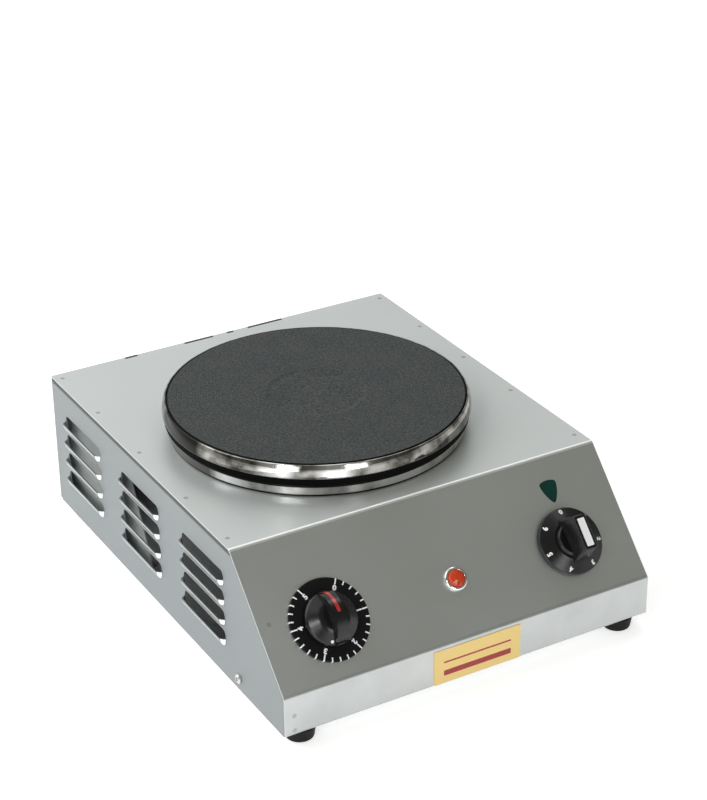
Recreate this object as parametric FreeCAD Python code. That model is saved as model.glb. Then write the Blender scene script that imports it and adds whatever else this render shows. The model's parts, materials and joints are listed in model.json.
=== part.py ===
import FreeCAD, Part
import math
import os

V = FreeCAD.Vector
X_AXIS = V(1, 0, 0)
Y_AXIS = V(0, 1, 0)
Z_AXIS = V(0, 0, 1)

# Driving dimensions in millimetres. X runs to the right, Y to the back, Z up from the floor.
SHEET = 1.0             # stainless sheet of the housing
BODY_W = 294.0          # width over the side panels
TOP_D = 299.0           # flat top, from the rear edge to the break of the slope
SLOPE_RUN = 73.5        # sloping panel, measured along Y
SLOPE_DROP = 77.0       # sloping panel, measured along Z
BAND_H = 30.5           # upright band under the slope
FOOT_H = 10.0           # floor to the lower edge of the housing
GLAND_REACH = 14.0      # how far the cable gland stands out behind
LABEL_T = 0.4           # thickness of the label on the front band
PLATE_R = 109.5         # cast-iron plate, a common 220 mm size
PLATE_LIFT = 25.8       # plate's face above the top sheet
BURNER_X = -9.5         # burner axis from the middle of the housing
BURNER_FORWARD = 23.0   # burner axis from the middle of the flat top, towards the front
CONTROL_X = 97.0        # knob axes either side of the middle
CONTROL_DOWN = 65.0     # knob axes from the break, down the slope
PILOT_X = 2.5           # pilot lamp across the slope

# Sheet-metal details.
COVER_BEND = 2.5        # outer bend radius of the cover
SIDE_BEND = 2.5         # outer bend radius of the side trays
TRAY_CORNER = 3.0       # corners of the side trays inside the bends of the cover
FLANGE = 13.0           # flanges of the side trays under the cover
RETURN = 28.0           # bottom returns of the cover and the rear panel
REAR_RETURN = 14.0      # top return of the rear panel
BASE_FLANGE = 18.0      # upturned flanges of the base
FIT = 0.5               # gap between the edges of neighbouring sheets
RELIEF = 4.0            # flange ends cut short of the bottom returns

# Louvres of the side panels, each a pressed scoop with its mouth upwards.
LOUVRE_LENGTH = 66.0
LOUVRE_BULGE = 3.8
LOUVRE_DEPTH = 7.2      # height of the scoop from its foot to its lip
LOUVRE_GAP = 5.9        # lip below the cut edge
LOUVRE_ROUND = 5.5      # rounding of the closed ends
LOUVRE_COLUMNS = 3
LOUVRE_ROWS = 4
LOUVRE_COLUMN_PITCH = 100.7
LOUVRE_ROW_PITCH = 15.8
LOUVRE_TOP = 78.4       # lip of the top row above the lower edge of the housing
LOUVRE_MIDDLE = 6.5     # middle column in front of the middle of the flat top

# Screws and nuts.
M4_R = 2.0
M4_HOLE_R = 2.2
M4_HEAD_R = 3.5
M4_HEAD_H = 2.2
M4_NUT = 7.0
M4_NUT_H = 3.2
RECESS_ARM = (3.6, 0.8)     # length and width of one arm of a cross recess
M8_R = 4.0
M8_NUT = 13.0
M8_NUT_H = 6.5
SHEET_SCREW = 7.0       # length of the screws that join sheets

# Places worked out from the driving dimensions.
DEPTH = TOP_D + SLOPE_RUN
Y_FRONT = -(DEPTH + GLAND_REACH - LABEL_T) / 2
Y_BREAK = Y_FRONT + SLOPE_RUN
Y_REAR = Y_FRONT + DEPTH
Z_BOTTOM = FOOT_H
Z_NOSE = Z_BOTTOM + BAND_H
Z_TOP = Z_NOSE + SLOPE_DROP
Z_FLOOR = Z_BOTTOM + 2 * SHEET      # upper face of the base
SIDE_X = BODY_W / 2
BURNER_Y = Y_BREAK + TOP_D / 2 - BURNER_FORWARD
BURNER = V(BURNER_X, BURNER_Y, Z_TOP)
TILT = math.degrees(math.atan2(SLOPE_DROP, SLOPE_RUN))
SLOPE = math.hypot(SLOPE_RUN, SLOPE_DROP)


# Shared ways of making shapes.

CORNERS = ((1, 1), (-1, 1), (-1, -1), (1, -1))
NUT_CHAMFER = 1.0       # height of the turned-off corners of a nut
NUT_FIT = 0.05          # nut bores over their threads

def corner(before, at, after, radius):
    """Ends and middle of the arc of the given radius that rounds the corner at a point."""
    one = (before - at).normalize()
    two = (after - at).normalize()
    half = one.getAngle(two) / 2
    reach = radius / math.tan(half)
    bisector = (one + two).normalize()
    centre = at + bisector * (radius / math.sin(half))
    return at + one * reach, centre - bisector * radius, at + two * reach


def rounded(points, radii, closed=False):
    """Wire through points whose corners are rounded by radii, where 0 leaves a corner sharp."""
    count = len(points)
    stops = []
    for i, point in enumerate(points):
        loose_end = not closed and i in (0, count - 1)
        if loose_end or radii[i] == 0:
            stops.append((point, None, point))
        else:
            stops.append(corner(points[i - 1], point, points[(i + 1) % count], radii[i]))
    edges = []
    for i, (enter, middle, leave) in enumerate(stops):
        if middle is not None:
            edges.append(Part.Arc(enter, middle, leave).toShape())
        if closed or i < count - 1:
            target = stops[(i + 1) % count][0]
            if (target - leave).Length > 1e-6:
                edges.append(Part.LineSegment(leave, target).toShape())
    return Part.Wire(edges)


def lefts_of(line, axis):
    """Unit vectors to the left of each run of a line, seen against the axis."""
    return [axis.cross((b - a).normalize()) for a, b in zip(line, line[1:])]


def inner_line(skin, axis, thickness):
    """Line parallel to an open skin line, one thickness to its left."""
    lefts = lefts_of(skin, axis)
    points = [skin[0] + lefts[0] * thickness]
    for before, after, point in zip(lefts, lefts[1:], skin[1:-1]):
        points.append(point + (before + after) * (thickness / (1 + before.dot(after))))
    points.append(skin[-1] + lefts[-1] * thickness)
    return points


def folded_sheet(skin, bend, span, thickness=SHEET):
    """Sheet folded along its skin line, with its thickness to the left, carried along span."""
    axis = V(span).normalize()
    lefts = lefts_of(skin, axis)
    inner = inner_line(skin, axis, thickness)
    skin_radii = [0]
    inner_radii = [0]
    for before, after in zip(lefts, lefts[1:]):
        towards_inside = before.cross(after).dot(axis) > 0
        skin_radii.append(bend if towards_inside else bend - thickness)
        inner_radii.append(bend - thickness if towards_inside else bend)
    outside = rounded(skin, skin_radii + [0])
    inside = rounded(inner, inner_radii + [0])
    ends = [Part.LineSegment(a, b).toShape() for a, b in ((skin[0], inner[0]), (skin[-1], inner[-1]))]
    edges = Part.__sortEdges__(outside.Edges + inside.Edges + ends)
    return Part.Face(Part.Wire(edges)).extrude(span)


def turned(outline, radii=None, at=V(0, 0, 0)):
    """Solid turned about a vertical axis from an outline of (radius, height) pairs."""
    points = [V(radius, 0, height) for radius, height in outline]
    wire = rounded(points, radii or [0] * len(points), closed=True)
    solid = Part.Face(wire).revolve(V(0, 0, 0), Z_AXIS, 360)
    solid.translate(at)
    return solid


def cylinder(radius, low, high, at=V(0, 0, 0)):
    """Upright cylinder between two heights above a point."""
    return Part.makeCylinder(radius, high - low, at + Z_AXIS * low)


def block(size_x, size_y, low, high, at=V(0, 0, 0)):
    """Upright box between two heights, centred on a point in X and Y."""
    return Part.makeBox(size_x, size_y, high - low, at + V(-size_x / 2, -size_y / 2, low))


def rounded_block(size_x, size_y, low, high, radius):
    """Upright box between two heights with rounded upright edges."""
    points = [V(x * size_x / 2, y * size_y / 2, low) for x, y in CORNERS]
    wire = rounded(points, [radius] * 4, closed=True)
    return Part.Face(wire).extrude(Z_AXIS * (high - low))


def hex_prism(across, low, high):
    """Upright hexagon of a size across its flats."""
    points = [V(across / math.sqrt(3), 0, low)]
    for i in range(6):
        turn = FreeCAD.Rotation(Z_AXIS, 60 * (i + 1))
        points.append(turn.multVec(points[0]))
    return Part.Face(Part.makePolygon(points)).extrude(Z_AXIS * (high - low))


def hex_nut(across, bore, low, high):
    """Hexagon nut with a plain bore and its corners turned off."""
    flat_r = across / 2
    point_r = across / math.sqrt(3)
    outline = [(0, low), (flat_r, low), (point_r, low + NUT_CHAMFER), (point_r, high - NUT_CHAMFER)]
    blank = turned(outline + [(flat_r, high), (0, high)])
    return hex_prism(across, low, high).common(blank).cut(cylinder(bore, low - 1, high + 1))


def pan_screw(length):
    """Pan-head screw along Z with its head above Z = 0 and a cross recess."""
    edge = M4_HEAD_H / 2
    head = turned([(0, 0), (M4_HEAD_R, 0), (M4_HEAD_R, edge), (M4_HEAD_R - edge, M4_HEAD_H), (0, M4_HEAD_H)])
    for size_x, size_y in (RECESS_ARM, RECESS_ARM[::-1]):
        head = head.cut(block(size_x, size_y, edge, M4_HEAD_H + 1))
    return head.fuse(cylinder(M4_R, -length, 0)).removeSplitter()


def obround(length, width, low, high):
    """Upright slot cutter, rounded at both ends, with its length along X."""
    straight = (length - width) / 2
    body = block(2 * straight, width, low, high)
    ends = [cylinder(width / 2, low, high, V(x, 0, 0)) for x in (-straight, straight)]
    return body.fuse(ends).removeSplitter()


def tube(points, bend, radius):
    """Round wire or tube along straight runs joined by arcs."""
    path = rounded(points, [bend] * len(points))
    start = Part.Circle(points[0], (points[1] - points[0]).normalize(), radius)
    return path.makePipeShell([Part.Wire(start.toShape())], True, False)


def moved(shape, offset, axis=None, angle=0):
    """Copy of a shape, turned about an axis through the origin and then moved."""
    copy = shape.copy()
    if axis is not None:
        copy.rotate(V(0, 0, 0), axis, angle)
    copy.translate(offset)
    return copy


def on_panel(shape, x, down=CONTROL_DOWN):
    """Copy of a shape set on the slope, its Z along the panel's normal and its Y up the slope."""
    offset = V(x, Y_BREAK - down * SLOPE_RUN / SLOPE, Z_TOP - down * SLOPE_DROP / SLOPE)
    return moved(shape, offset, X_AXIS, TILT)


def panel_point(x, right, up, out, down=CONTROL_DOWN):
    """Point given right of, up the slope from and out of the panel at a control."""
    return on_panel(Part.Vertex(V(right, up, out)), x, down).Point


def group(shapes):
    """Separate solids kept together as one piece."""
    return Part.makeCompound(shapes)


# Housing.

FOOT_PLACES = {
    "front_left": V(-130, Y_FRONT + 12, 0),
    "front_right": V(130, Y_FRONT + 12, 0),
    "rear_left": V(-130, Y_REAR - 16, 0),
    "rear_right": V(130, Y_REAR - 16, 0),
}
SIDE_SCREW = V(SIDE_X, Y_BREAK - 8, Z_BOTTOM + 9.4)
REAR_SCREW_X = SIDE_X - 7.5
REAR_SCREW_Z = (Z_BOTTOM + 22, Z_TOP - 22)
GLAND = V(95, Y_REAR, Z_BOTTOM + 30)
GLAND_THREAD_R = 8.0
BURNER_HOLE_R = 100.0
BUSH_HOLE_R = 5.6
PILOT_HOLE_R = 6.2
SCREW_SPREAD = 14.0     # control screws either side of a spindle


def foot_holes():
    """Cutters for the foot screws through the sheets above the feet."""
    return [cylinder(M4_HOLE_R, Z_BOTTOM - 1, Z_FLOOR + 1, place) for place in FOOT_PLACES.values()]


def top_cover():
    """Folded sheet with the flat top, the slope, the front band and a bottom return."""
    skin = [V(-SIDE_X, y, z) for y, z in (
        (Y_REAR, Z_TOP), (Y_BREAK, Z_TOP), (Y_FRONT, Z_NOSE),
        (Y_FRONT, Z_BOTTOM), (Y_FRONT + RETURN, Z_BOTTOM))]
    sheet = folded_sheet(skin, COVER_BEND, X_AXIS * BODY_W)
    cutters = [cylinder(BURNER_HOLE_R, -5, 5, BURNER)]
    for x in (-CONTROL_X, CONTROL_X):
        cutters.append(on_panel(cylinder(BUSH_HOLE_R, -5, 5), x))
        for right in (-SCREW_SPREAD, SCREW_SPREAD):
            cutters.append(on_panel(cylinder(M4_HOLE_R, -5, 5, V(right, 0, 0)), x))
    cutters.append(on_panel(cylinder(PILOT_HOLE_R, -5, 5), PILOT_X))
    # The return runs only between the side panels.
    ear = SHEET + FIT
    for x in (-SIDE_X, SIDE_X - ear):
        corner_low = V(x, Y_FRONT + SHEET, Z_BOTTOM - 1)
        cutters.append(Part.makeBox(ear, RETURN, COVER_BEND + 1, corner_low))
    return sheet.cut(cutters + foot_holes())


def louvre_rod(radius, inset, length, rounding, top):
    """Rod with rounded ends that lies along the panel, cut off flat at a height over its axis."""
    rod = Part.makeCylinder(radius, length, V(inset, -length / 2, 0), Y_AXIS)
    rod = rod.makeFillet(rounding, [edge for edge in rod.Edges if edge.isClosed()])
    keep = block(4 * radius, 2 * length, -2 * radius, top)
    return rod.common(keep)


def add_louvres(panel):
    """Press the louvres out of the left panel: scoops that grow from it and open upwards."""
    # A circle through the foot and the lip of the scoop, with its centre inside the panel.
    radius = (LOUVRE_DEPTH ** 2 / LOUVRE_BULGE + LOUVRE_BULGE) / 2
    inset = radius - LOUVRE_BULGE
    outside = block(4 * radius, LOUVRE_LENGTH * 2, -4 * radius, 4 * radius, V(SHEET / 2 - 2 * radius, 0, 0))
    scoop = louvre_rod(radius, inset, LOUVRE_LENGTH, LOUVRE_ROUND, 0).common(outside)
    inner_length = LOUVRE_LENGTH - 2 * SHEET
    hollow = louvre_rod(radius - SHEET, inset, inner_length, LOUVRE_ROUND - SHEET, LOUVRE_GAP)
    scoops = []
    hollows = []
    middle_y = Y_BREAK + TOP_D / 2 - LOUVRE_MIDDLE
    for column in range(LOUVRE_COLUMNS):
        for row in range(LOUVRE_ROWS):
            y = middle_y + (column - (LOUVRE_COLUMNS - 1) / 2) * LOUVRE_COLUMN_PITCH
            place = V(-SIDE_X, y, Z_BOTTOM + LOUVRE_TOP - row * LOUVRE_ROW_PITCH)
            scoops.append(moved(scoop, place))
            hollows.append(moved(hollow, place))
    return panel.fuse(scoops).cut(hollows).removeSplitter()


def left_side_panel():
    """Tray with flanges under the cover and against the rear panel, and pressed louvres."""
    skin = [V(-SIDE_X, y, z) for y, z in (
        (Y_REAR, Z_BOTTOM), (Y_REAR, Z_TOP), (Y_BREAK, Z_TOP), (Y_FRONT, Z_NOSE), (Y_FRONT, Z_BOTTOM))]
    edge = inner_line(skin, X_AXIS, SHEET)
    outline = rounded(edge, [0, 0, TRAY_CORNER, TRAY_CORNER, 0], closed=True)
    blank = Part.Face(outline).extrude(X_AXIS * FLANGE)
    bends = []
    for line in blank.Edges:
        ends = [vertex.Point for vertex in line.Vertexes]
        on_face = all(abs(end.x + SIDE_X) < 1e-6 for end in ends)
        if on_face and max(end.z for end in ends) > Z_BOTTOM + 1:
            bends.append(line)
    blank = blank.makeFillet(SIDE_BEND, bends)
    open_faces = []
    for face in blank.Faces:
        box = face.BoundBox
        inner_side = box.XMin > -SIDE_X + FLANGE - 1e-3
        underside = box.ZMax < Z_BOTTOM + 1e-3
        if inner_side or underside:
            open_faces.append(face)
    tray = blank.makeThickness(open_faces, -SHEET, 1e-3)
    cutters = []
    for y in (Y_FRONT, Y_REAR - SIDE_BEND - SHEET):
        low = V(-SIDE_X + SHEET, y, Z_BOTTOM - 1)
        cutters.append(Part.makeBox(FLANGE, SIDE_BEND + SHEET, RELIEF + 1, low))
    screw = V(-SIDE_SCREW.x - 1, SIDE_SCREW.y, SIDE_SCREW.z)
    cutters.append(Part.makeCylinder(M4_HOLE_R, 4, screw, X_AXIS))
    for z in REAR_SCREW_Z:
        cutters.append(Part.makeCylinder(M4_HOLE_R, 8, V(-REAR_SCREW_X, Y_REAR - 6, z), Y_AXIS))
    return add_louvres(tray.cut(cutters))


def right_side_panel():
    """Mirror image of the left side panel."""
    return left_side_panel().mirror(V(0, 0, 0), X_AXIS)


VENT_LENGTH = 34.0
VENT_WIDTH = 4.0
VENT_PITCH = 11.0
VENT_COUNT = 14
VENT_DOWN = 34.0        # middle of the vents below the top


def rear_panel():
    """Folded rear sheet with returns at the top and bottom, vents and the gland hole."""
    top = Z_TOP - SHEET
    skin = [V(-SIDE_X, y, z) for y, z in (
        (Y_REAR - RETURN, Z_BOTTOM), (Y_REAR, Z_BOTTOM), (Y_REAR, top), (Y_REAR - REAR_RETURN, top))]
    sheet = folded_sheet(skin, COVER_BEND, X_AXIS * BODY_W)
    cutters = []
    for side in (-1, 1):
        top_ear = FLANGE + FIT
        bottom_ear = SHEET + FIT
        top_low = V(side * (SIDE_X - top_ear / 2), Y_REAR - SHEET - REAR_RETURN / 2, 0)
        cutters.append(block(top_ear, REAR_RETURN, Z_TOP - 10, Z_TOP, top_low))
        bottom_low = V(side * (SIDE_X - bottom_ear / 2), Y_REAR - SHEET - RETURN / 2, 0)
        cutters.append(block(bottom_ear, RETURN, Z_BOTTOM - 1, Z_BOTTOM + RELIEF, bottom_low))
        for z in REAR_SCREW_Z:
            place = V(side * REAR_SCREW_X, Y_REAR - 4, z)
            cutters.append(Part.makeCylinder(M4_HOLE_R, 8, place, Y_AXIS))
    slot = moved(obround(VENT_LENGTH, VENT_WIDTH, -5, 5), V(0, 0, 0), Z_AXIS, 90)
    slot.rotate(V(0, 0, 0), X_AXIS, 90)
    for i in range(VENT_COUNT):
        x = (i - (VENT_COUNT - 1) / 2) * VENT_PITCH
        cutters.append(moved(slot, V(x, Y_REAR, Z_TOP - VENT_DOWN)))
    cutters.append(Part.makeCylinder(GLAND_THREAD_R + 0.1, 10, GLAND - Y_AXIS * 5, Y_AXIS))
    return sheet.cut(cutters + foot_holes())


BASE_SLOT = (60.0, 5.0)
BASE_SLOT_PITCH = (78.0, 16.0)
BASE_SLOT_GRID = (2, 9)
BASE_SLOT_FORWARD = 30.0    # middle of the slots in front of the burner axis


def base_plate():
    """Channel-shaped base on the bottom returns, slotted for air under the burner."""
    half = SIDE_X - SHEET
    end_gap = SHEET + SIDE_BEND + FIT
    low = Z_BOTTOM + SHEET
    skin = [V(x, Y_FRONT + end_gap, z) for x, z in (
        (half, low + BASE_FLANGE), (half, low), (-half, low), (-half, low + BASE_FLANGE))]
    sheet = folded_sheet(skin, COVER_BEND, Y_AXIS * (DEPTH - 2 * end_gap))
    cutters = foot_holes()
    slot = obround(BASE_SLOT[0], BASE_SLOT[1], Z_BOTTOM - 1, Z_FLOOR + 1)
    for i in range(BASE_SLOT_GRID[0]):
        for j in range(BASE_SLOT_GRID[1]):
            x = (i - (BASE_SLOT_GRID[0] - 1) / 2) * BASE_SLOT_PITCH[0]
            back = (j - (BASE_SLOT_GRID[1] - 1) / 2) * BASE_SLOT_PITCH[1]
            cutters.append(moved(slot, V(x, BURNER_Y - BASE_SLOT_FORWARD + back, 0)))
    for side in (-1, 1):
        place = V(side * SIDE_SCREW.x, SIDE_SCREW.y, SIDE_SCREW.z)
        cutters.append(Part.makeCylinder(M4_HOLE_R, 12, place - X_AXIS * 6, X_AXIS))
    return sheet.cut(cutters)


SHIELD_T = 0.8
SHIELD_IN = 8.0         # outer face of a shield inside the outer face of its side panel
SHIELD_REAR = 8.5       # rear edge in front of the outer face of the rear panel
SHIELD_LOW_FRONT = 20.0     # slanting front edge, behind the middle at its foot and at its top
SHIELD_TOP_FRONT = 62.0
SHIELD_H = 84.0
SHIELD_FOOT = (12.0, 45.0, 140.0)       # width of the foot, and where it starts and ends along Y


def side_shields():
    """Upright sheets behind the rear louvres, with a slanting front edge and a foot welded to the base."""
    wide, start, end = SHIELD_FOOT
    x = -SIDE_X + SHIELD_IN
    outline = [V(x, y, z) for y, z in (
        (SHIELD_LOW_FRONT, Z_FLOOR), (SHIELD_TOP_FRONT, Z_FLOOR + SHIELD_H),
        (Y_REAR - SHIELD_REAR, Z_FLOOR + SHIELD_H), (Y_REAR - SHIELD_REAR, Z_FLOOR))]
    wall = Part.Face(Part.makePolygon(outline + outline[:1])).extrude(X_AXIS * SHIELD_T)
    foot = Part.makeBox(wide, end - start, SHIELD_T, V(x, start, Z_FLOOR))
    shield = wall.fuse(foot).removeSplitter()
    return group([shield, shield.mirror(V(0, 0, 0), X_AXIS)])


FOOT_R = 11.5
FOOT_TIP_R = 9.8
FOOT_BORE_DEPTH = 5.0   # screw heads sit this far up inside the feet


def rubber_foot(place):
    """Tapered rubber foot with a stepped screw hole."""
    body = turned([(0, 0), (FOOT_TIP_R, 0), (FOOT_R, FOOT_H), (0, FOOT_H)], [0, 1.5, 1.0, 0])
    hole = cylinder(M4_HOLE_R, -1, FOOT_H + 1).fuse(cylinder(M4_HEAD_R + 0.8, -1, FOOT_BORE_DEPTH))
    return moved(body.cut(hole), place)


def foot_screws():
    """Screws up through the feet, the returns and the base."""
    screw = moved(pan_screw(Z_FLOOR - FOOT_BORE_DEPTH + 5), V(0, 0, 0), X_AXIS, 180)
    return group([moved(screw, place + Z_AXIS * FOOT_BORE_DEPTH) for place in FOOT_PLACES.values()])


def foot_nuts():
    """Nuts of the foot screws on top of the base."""
    nut = hex_nut(M4_NUT, M4_R + NUT_FIT, Z_FLOOR, Z_FLOOR + M4_NUT_H)
    return group([moved(nut, place) for place in FOOT_PLACES.values()])


def side_screws():
    """Screws through the sides into the flanges of the base."""
    screws = []
    for side in (-1, 1):
        place = V(side * SIDE_SCREW.x, SIDE_SCREW.y, SIDE_SCREW.z)
        screws.append(moved(pan_screw(SHEET_SCREW), place, Y_AXIS, side * 90))
    return group(screws)


def rear_screws():
    """Screws through the rear panel into the rear flanges of the side trays."""
    screw = moved(pan_screw(SHEET_SCREW), V(0, 0, 0), X_AXIS, -90)
    places = [V(side * REAR_SCREW_X, Y_REAR, z) for side in (-1, 1) for z in REAR_SCREW_Z]
    return group([moved(screw, place) for place in places])


LABEL_SIZE = (70.0, 27.0)
LABEL_AT = (3.0, 14.6)      # middle of the label across, and above the lower edge


def front_label():
    """Thin label on the front band, left bare."""
    blank = rounded_block(LABEL_SIZE[0], LABEL_SIZE[1], 0, LABEL_T, 0.8)
    return moved(blank, V(LABEL_AT[0], Y_FRONT, Z_BOTTOM + LABEL_AT[1]), X_AXIS, 90)


# Burner. Heights are above the top sheet.

RING_R = 109.0          # spill ring where it stands on the cover
NECK_R = 111.6          # dark ring between the spill ring and the rim
NECK_INNER_R = 103.2
RING_H = 10.0
NECK_H = 14.6
RIM_R = 113.0           # widest part of the rim's convex wall
RIM_TOP_R = 110.9
RIM_INNER_R = 110.4
RIM_BULGE = 21.2        # height of the corner that the convex wall rounds off
RIM_BULGE_R = 16.0
RIM_FLOOR = 1.2
RIM_TOP = 25.4
RECESS_R = 37.5         # shallow round recess in the plate's face
RECESS_DEPTH = 0.5
RECESS_RAMP = 3.0       # width of the slope round the recess
PLATE_UNDER = 19.0      # underside between the ribs
RIB_LOW = 15.4
RIB_R = (30.0, 50.0, 70.0, 90.0)
RIB_W = 4.0
BED_GAP = 0.6           # heating beds end this far above the edges of the ribs
SKIRT_WALL = 5.5        # wall that stands in the rim
BOSS_R = 14.0
BOSS_LOW = 6.0
DISH_R = 98.0
DISH_LOW = -10.0
DISH_T = 0.8
BRIDGE_W = 28.0
BRIDGE_T = 3.0
BRIDGE_LOW = -30.0
BRIDGE_LEG = 102.0
BRIDGE_REACH = 118.0
STUD_LOW = -44.0
WASHER_R = 8.5
WASHER_T = 1.6


def ring(inner, outer, low, high):
    """Square-edged ring about the burner axis."""
    return turned([(inner, low), (outer, low), (outer, high), (inner, high)], None, BURNER)


def spill_ring():
    """Bright collar that stands on the cover."""
    outline = [(NECK_INNER_R, 0), (RING_R, 0), (RING_R, RING_H), (NECK_INNER_R, RING_H)]
    return turned(outline, [0, 0.6, 0.9, 0], BURNER)


def neck_ring():
    """Dark ring on the collar, which carries the rim."""
    return ring(NECK_INNER_R, NECK_R, RING_H, NECK_H)


def plate_rim():
    """Overflow rim: a floor on the dark ring, a convex outer wall and a lip turned in round the plate."""
    outline = [(NECK_INNER_R, NECK_H), (RIM_R, NECK_H), (RIM_R, RIM_BULGE), (RIM_TOP_R, RIM_TOP),
               (PLATE_R + 0.4, RIM_TOP), (PLATE_R + 0.4, RIM_TOP - 1.2), (RIM_INNER_R, RIM_TOP - 2.4),
               (RIM_INNER_R, NECK_H + RIM_FLOOR), (NECK_INNER_R, NECK_H + RIM_FLOOR)]
    return turned(outline, [0, 2.0, RIM_BULGE_R, 0.8, 0.2, 0, 0, 0, 0], BURNER)


def hot_plate():
    """Cast-iron plate with a recessed middle, a skirt, ring ribs and a boss for the stud."""
    seat = NECK_H + RIM_FLOOR
    recess = PLATE_LIFT - RECESS_DEPTH
    skirt_r = PLATE_R - SKIRT_WALL
    outline = [(0, recess), (RECESS_R - RECESS_RAMP, recess), (RECESS_R, PLATE_LIFT), (PLATE_R, PLATE_LIFT),
               (PLATE_R, seat), (skirt_r, seat), (skirt_r - 1, PLATE_UNDER), (0, PLATE_UNDER)]
    plate = turned(outline, [0, 0.6, 0.6, 1.2, 0, 0, 1.5, 0], BURNER)
    ribs = [ring(r, r + RIB_W, RIB_LOW, PLATE_UNDER) for r in RIB_R]
    boss = cylinder(BOSS_R, BOSS_LOW, PLATE_UNDER, BURNER)
    bore = cylinder(M8_R, BOSS_LOW - 1, PLATE_UNDER, BURNER)
    return plate.fuse(ribs + [boss]).cut(bore).removeSplitter()


def heating_element():
    """Ring beds of embedded heating coil in the grooves between the ribs."""
    grooves = zip(RIB_R, RIB_R[1:])
    return group([ring(inner + RIB_W, outer, RIB_LOW + BED_GAP, PLATE_UNDER) for inner, outer in grooves])


def plate_dish():
    """Pressed dish under the plate, raised in the middle to meet the boss."""
    outline = [(M8_R + 0.3, BOSS_LOW), (18, BOSS_LOW), (30, DISH_LOW), (DISH_R - DISH_T, DISH_LOW),
               (DISH_R - DISH_T, RIB_LOW - 0.6), (DISH_R, RIB_LOW - 0.6), (DISH_R, DISH_LOW - DISH_T),
               (29.6, DISH_LOW - DISH_T), (17.6, BOSS_LOW - DISH_T), (M8_R + 0.3, BOSS_LOW - DISH_T)]
    return turned(outline, None, BURNER)


def clamp_bridge():
    """Strap under the burner whose ends press on the cover while the stud pulls it up."""
    top = -SHEET
    points = [(-BRIDGE_REACH, top), (-BRIDGE_LEG, top), (-BRIDGE_LEG, BRIDGE_LOW),
              (BRIDGE_LEG, BRIDGE_LOW), (BRIDGE_LEG, top), (BRIDGE_REACH, top)]
    skin = [BURNER + V(x, -BRIDGE_W / 2, z) for x, z in points]
    strap = folded_sheet(skin, BRIDGE_T + 2, Y_AXIS * BRIDGE_W, BRIDGE_T)
    return strap.cut(cylinder(M8_R + 0.4, BRIDGE_LOW - 10, BRIDGE_LOW + 10, BURNER))


def plate_stud():
    """Stud from the boss of the plate down through the bridge."""
    return cylinder(M8_R, STUD_LOW, PLATE_UNDER - 2, BURNER)


def stud_washers():
    """Washers under the dish and under the bridge."""
    washer = cylinder(WASHER_R, -WASHER_T, 0).cut(cylinder(M8_R + 0.2, -2, 1))
    heights = (BOSS_LOW - DISH_T, BRIDGE_LOW - BRIDGE_T)
    return group([moved(washer, BURNER + Z_AXIS * height) for height in heights])


def stud_nuts():
    """Nuts that hold the dish to the plate and the bridge to the stud."""
    nut = hex_nut(M8_NUT, M8_R + NUT_FIT, -M8_NUT_H, 0)
    heights = (BOSS_LOW - DISH_T - WASHER_T, BRIDGE_LOW - BRIDGE_T - WASHER_T)
    return group([moved(nut, BURNER + Z_AXIS * height) for height in heights])


TERMINAL_AT = V(42, 46, DISH_LOW - DISH_T)      # plate terminals from the burner axis
TERMINAL_SIZE = (44.0, 20.0, 13.0)
TERMINAL_PITCH = 10.0


def plate_terminals():
    """Ceramic block under the dish with a row of threaded pins."""
    wide, deep, high = TERMINAL_SIZE
    body = rounded_block(wide, deep, -high, 0, 3)
    pins = []
    for i in range(4):
        place = V((i - 1.5) * TERMINAL_PITCH, 0, 0)
        body = body.cut(cylinder(3.2, -high - 1, -high + 4, place))
        pins.append(cylinder(1.8, -high - 4, -high + 4, place))
    return moved(body.fuse(pins), BURNER + TERMINAL_AT)


# Controls, each built about its spindle with Z out of the panel and Z = 0 on the panel's face.

SPINDLE_R = 3.0
SPINDLE_FIT = 0.05
SPINDLE_LOW = -24.0     # inner end of a spindle behind the panel
BRACKET_SIZE = (40.0, 22.0)
BRACKET_T = 1.5
BODY_CORNER = 4.0
CAP_H = 3.0             # rear cap of a control body
CAP_INSET = 3.0
BLADE = (6.3, 0.8, 8.0)     # width, thickness and length of a push-on tab
CONTROL_SCREW = 6.0
BUSH_R = 5.0
BUSH_OUT = 1.6
DIAL_R = 29.0
DIAL_T = 2.0
KNOB_GAP = 0.6
KNOB_R = 19.2
KNOB_H = 21.0
KNOB_SHOULDER = 12.0
KNOB_EDGE = 6.0
RIDGE_W = 9.6
POINTER_W = 2.4
SKIRT_R = 24.6
SKIRT_EDGE = 4.2
SKIRT_TOP = 8.6
HUB_R = 13.0
HUB_H = 11.0
GRIP_H = 27.2
GRIP_FOOT = (13.5, 33.0)
GRIP_TOP = (10.0, 25.0)
INSERT_SIZE = (5.6, 20.6)
INSERT_T = 1.2


def dial_plate():
    """Fixed scale disc with clearance for the bush and the two screw heads."""
    disc = turned([(BUSH_R + 1, 0), (DIAL_R, 0), (DIAL_R, DIAL_T), (BUSH_R + 1, DIAL_T)], [0, 0, 0.6, 0])
    for right in (-SCREW_SPREAD, SCREW_SPREAD):
        disc = disc.cut(cylinder(M4_HEAD_R + 0.4, -1, DIAL_T + 1, V(right, 0, 0)))
    return on_panel(disc, -CONTROL_X)


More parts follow.
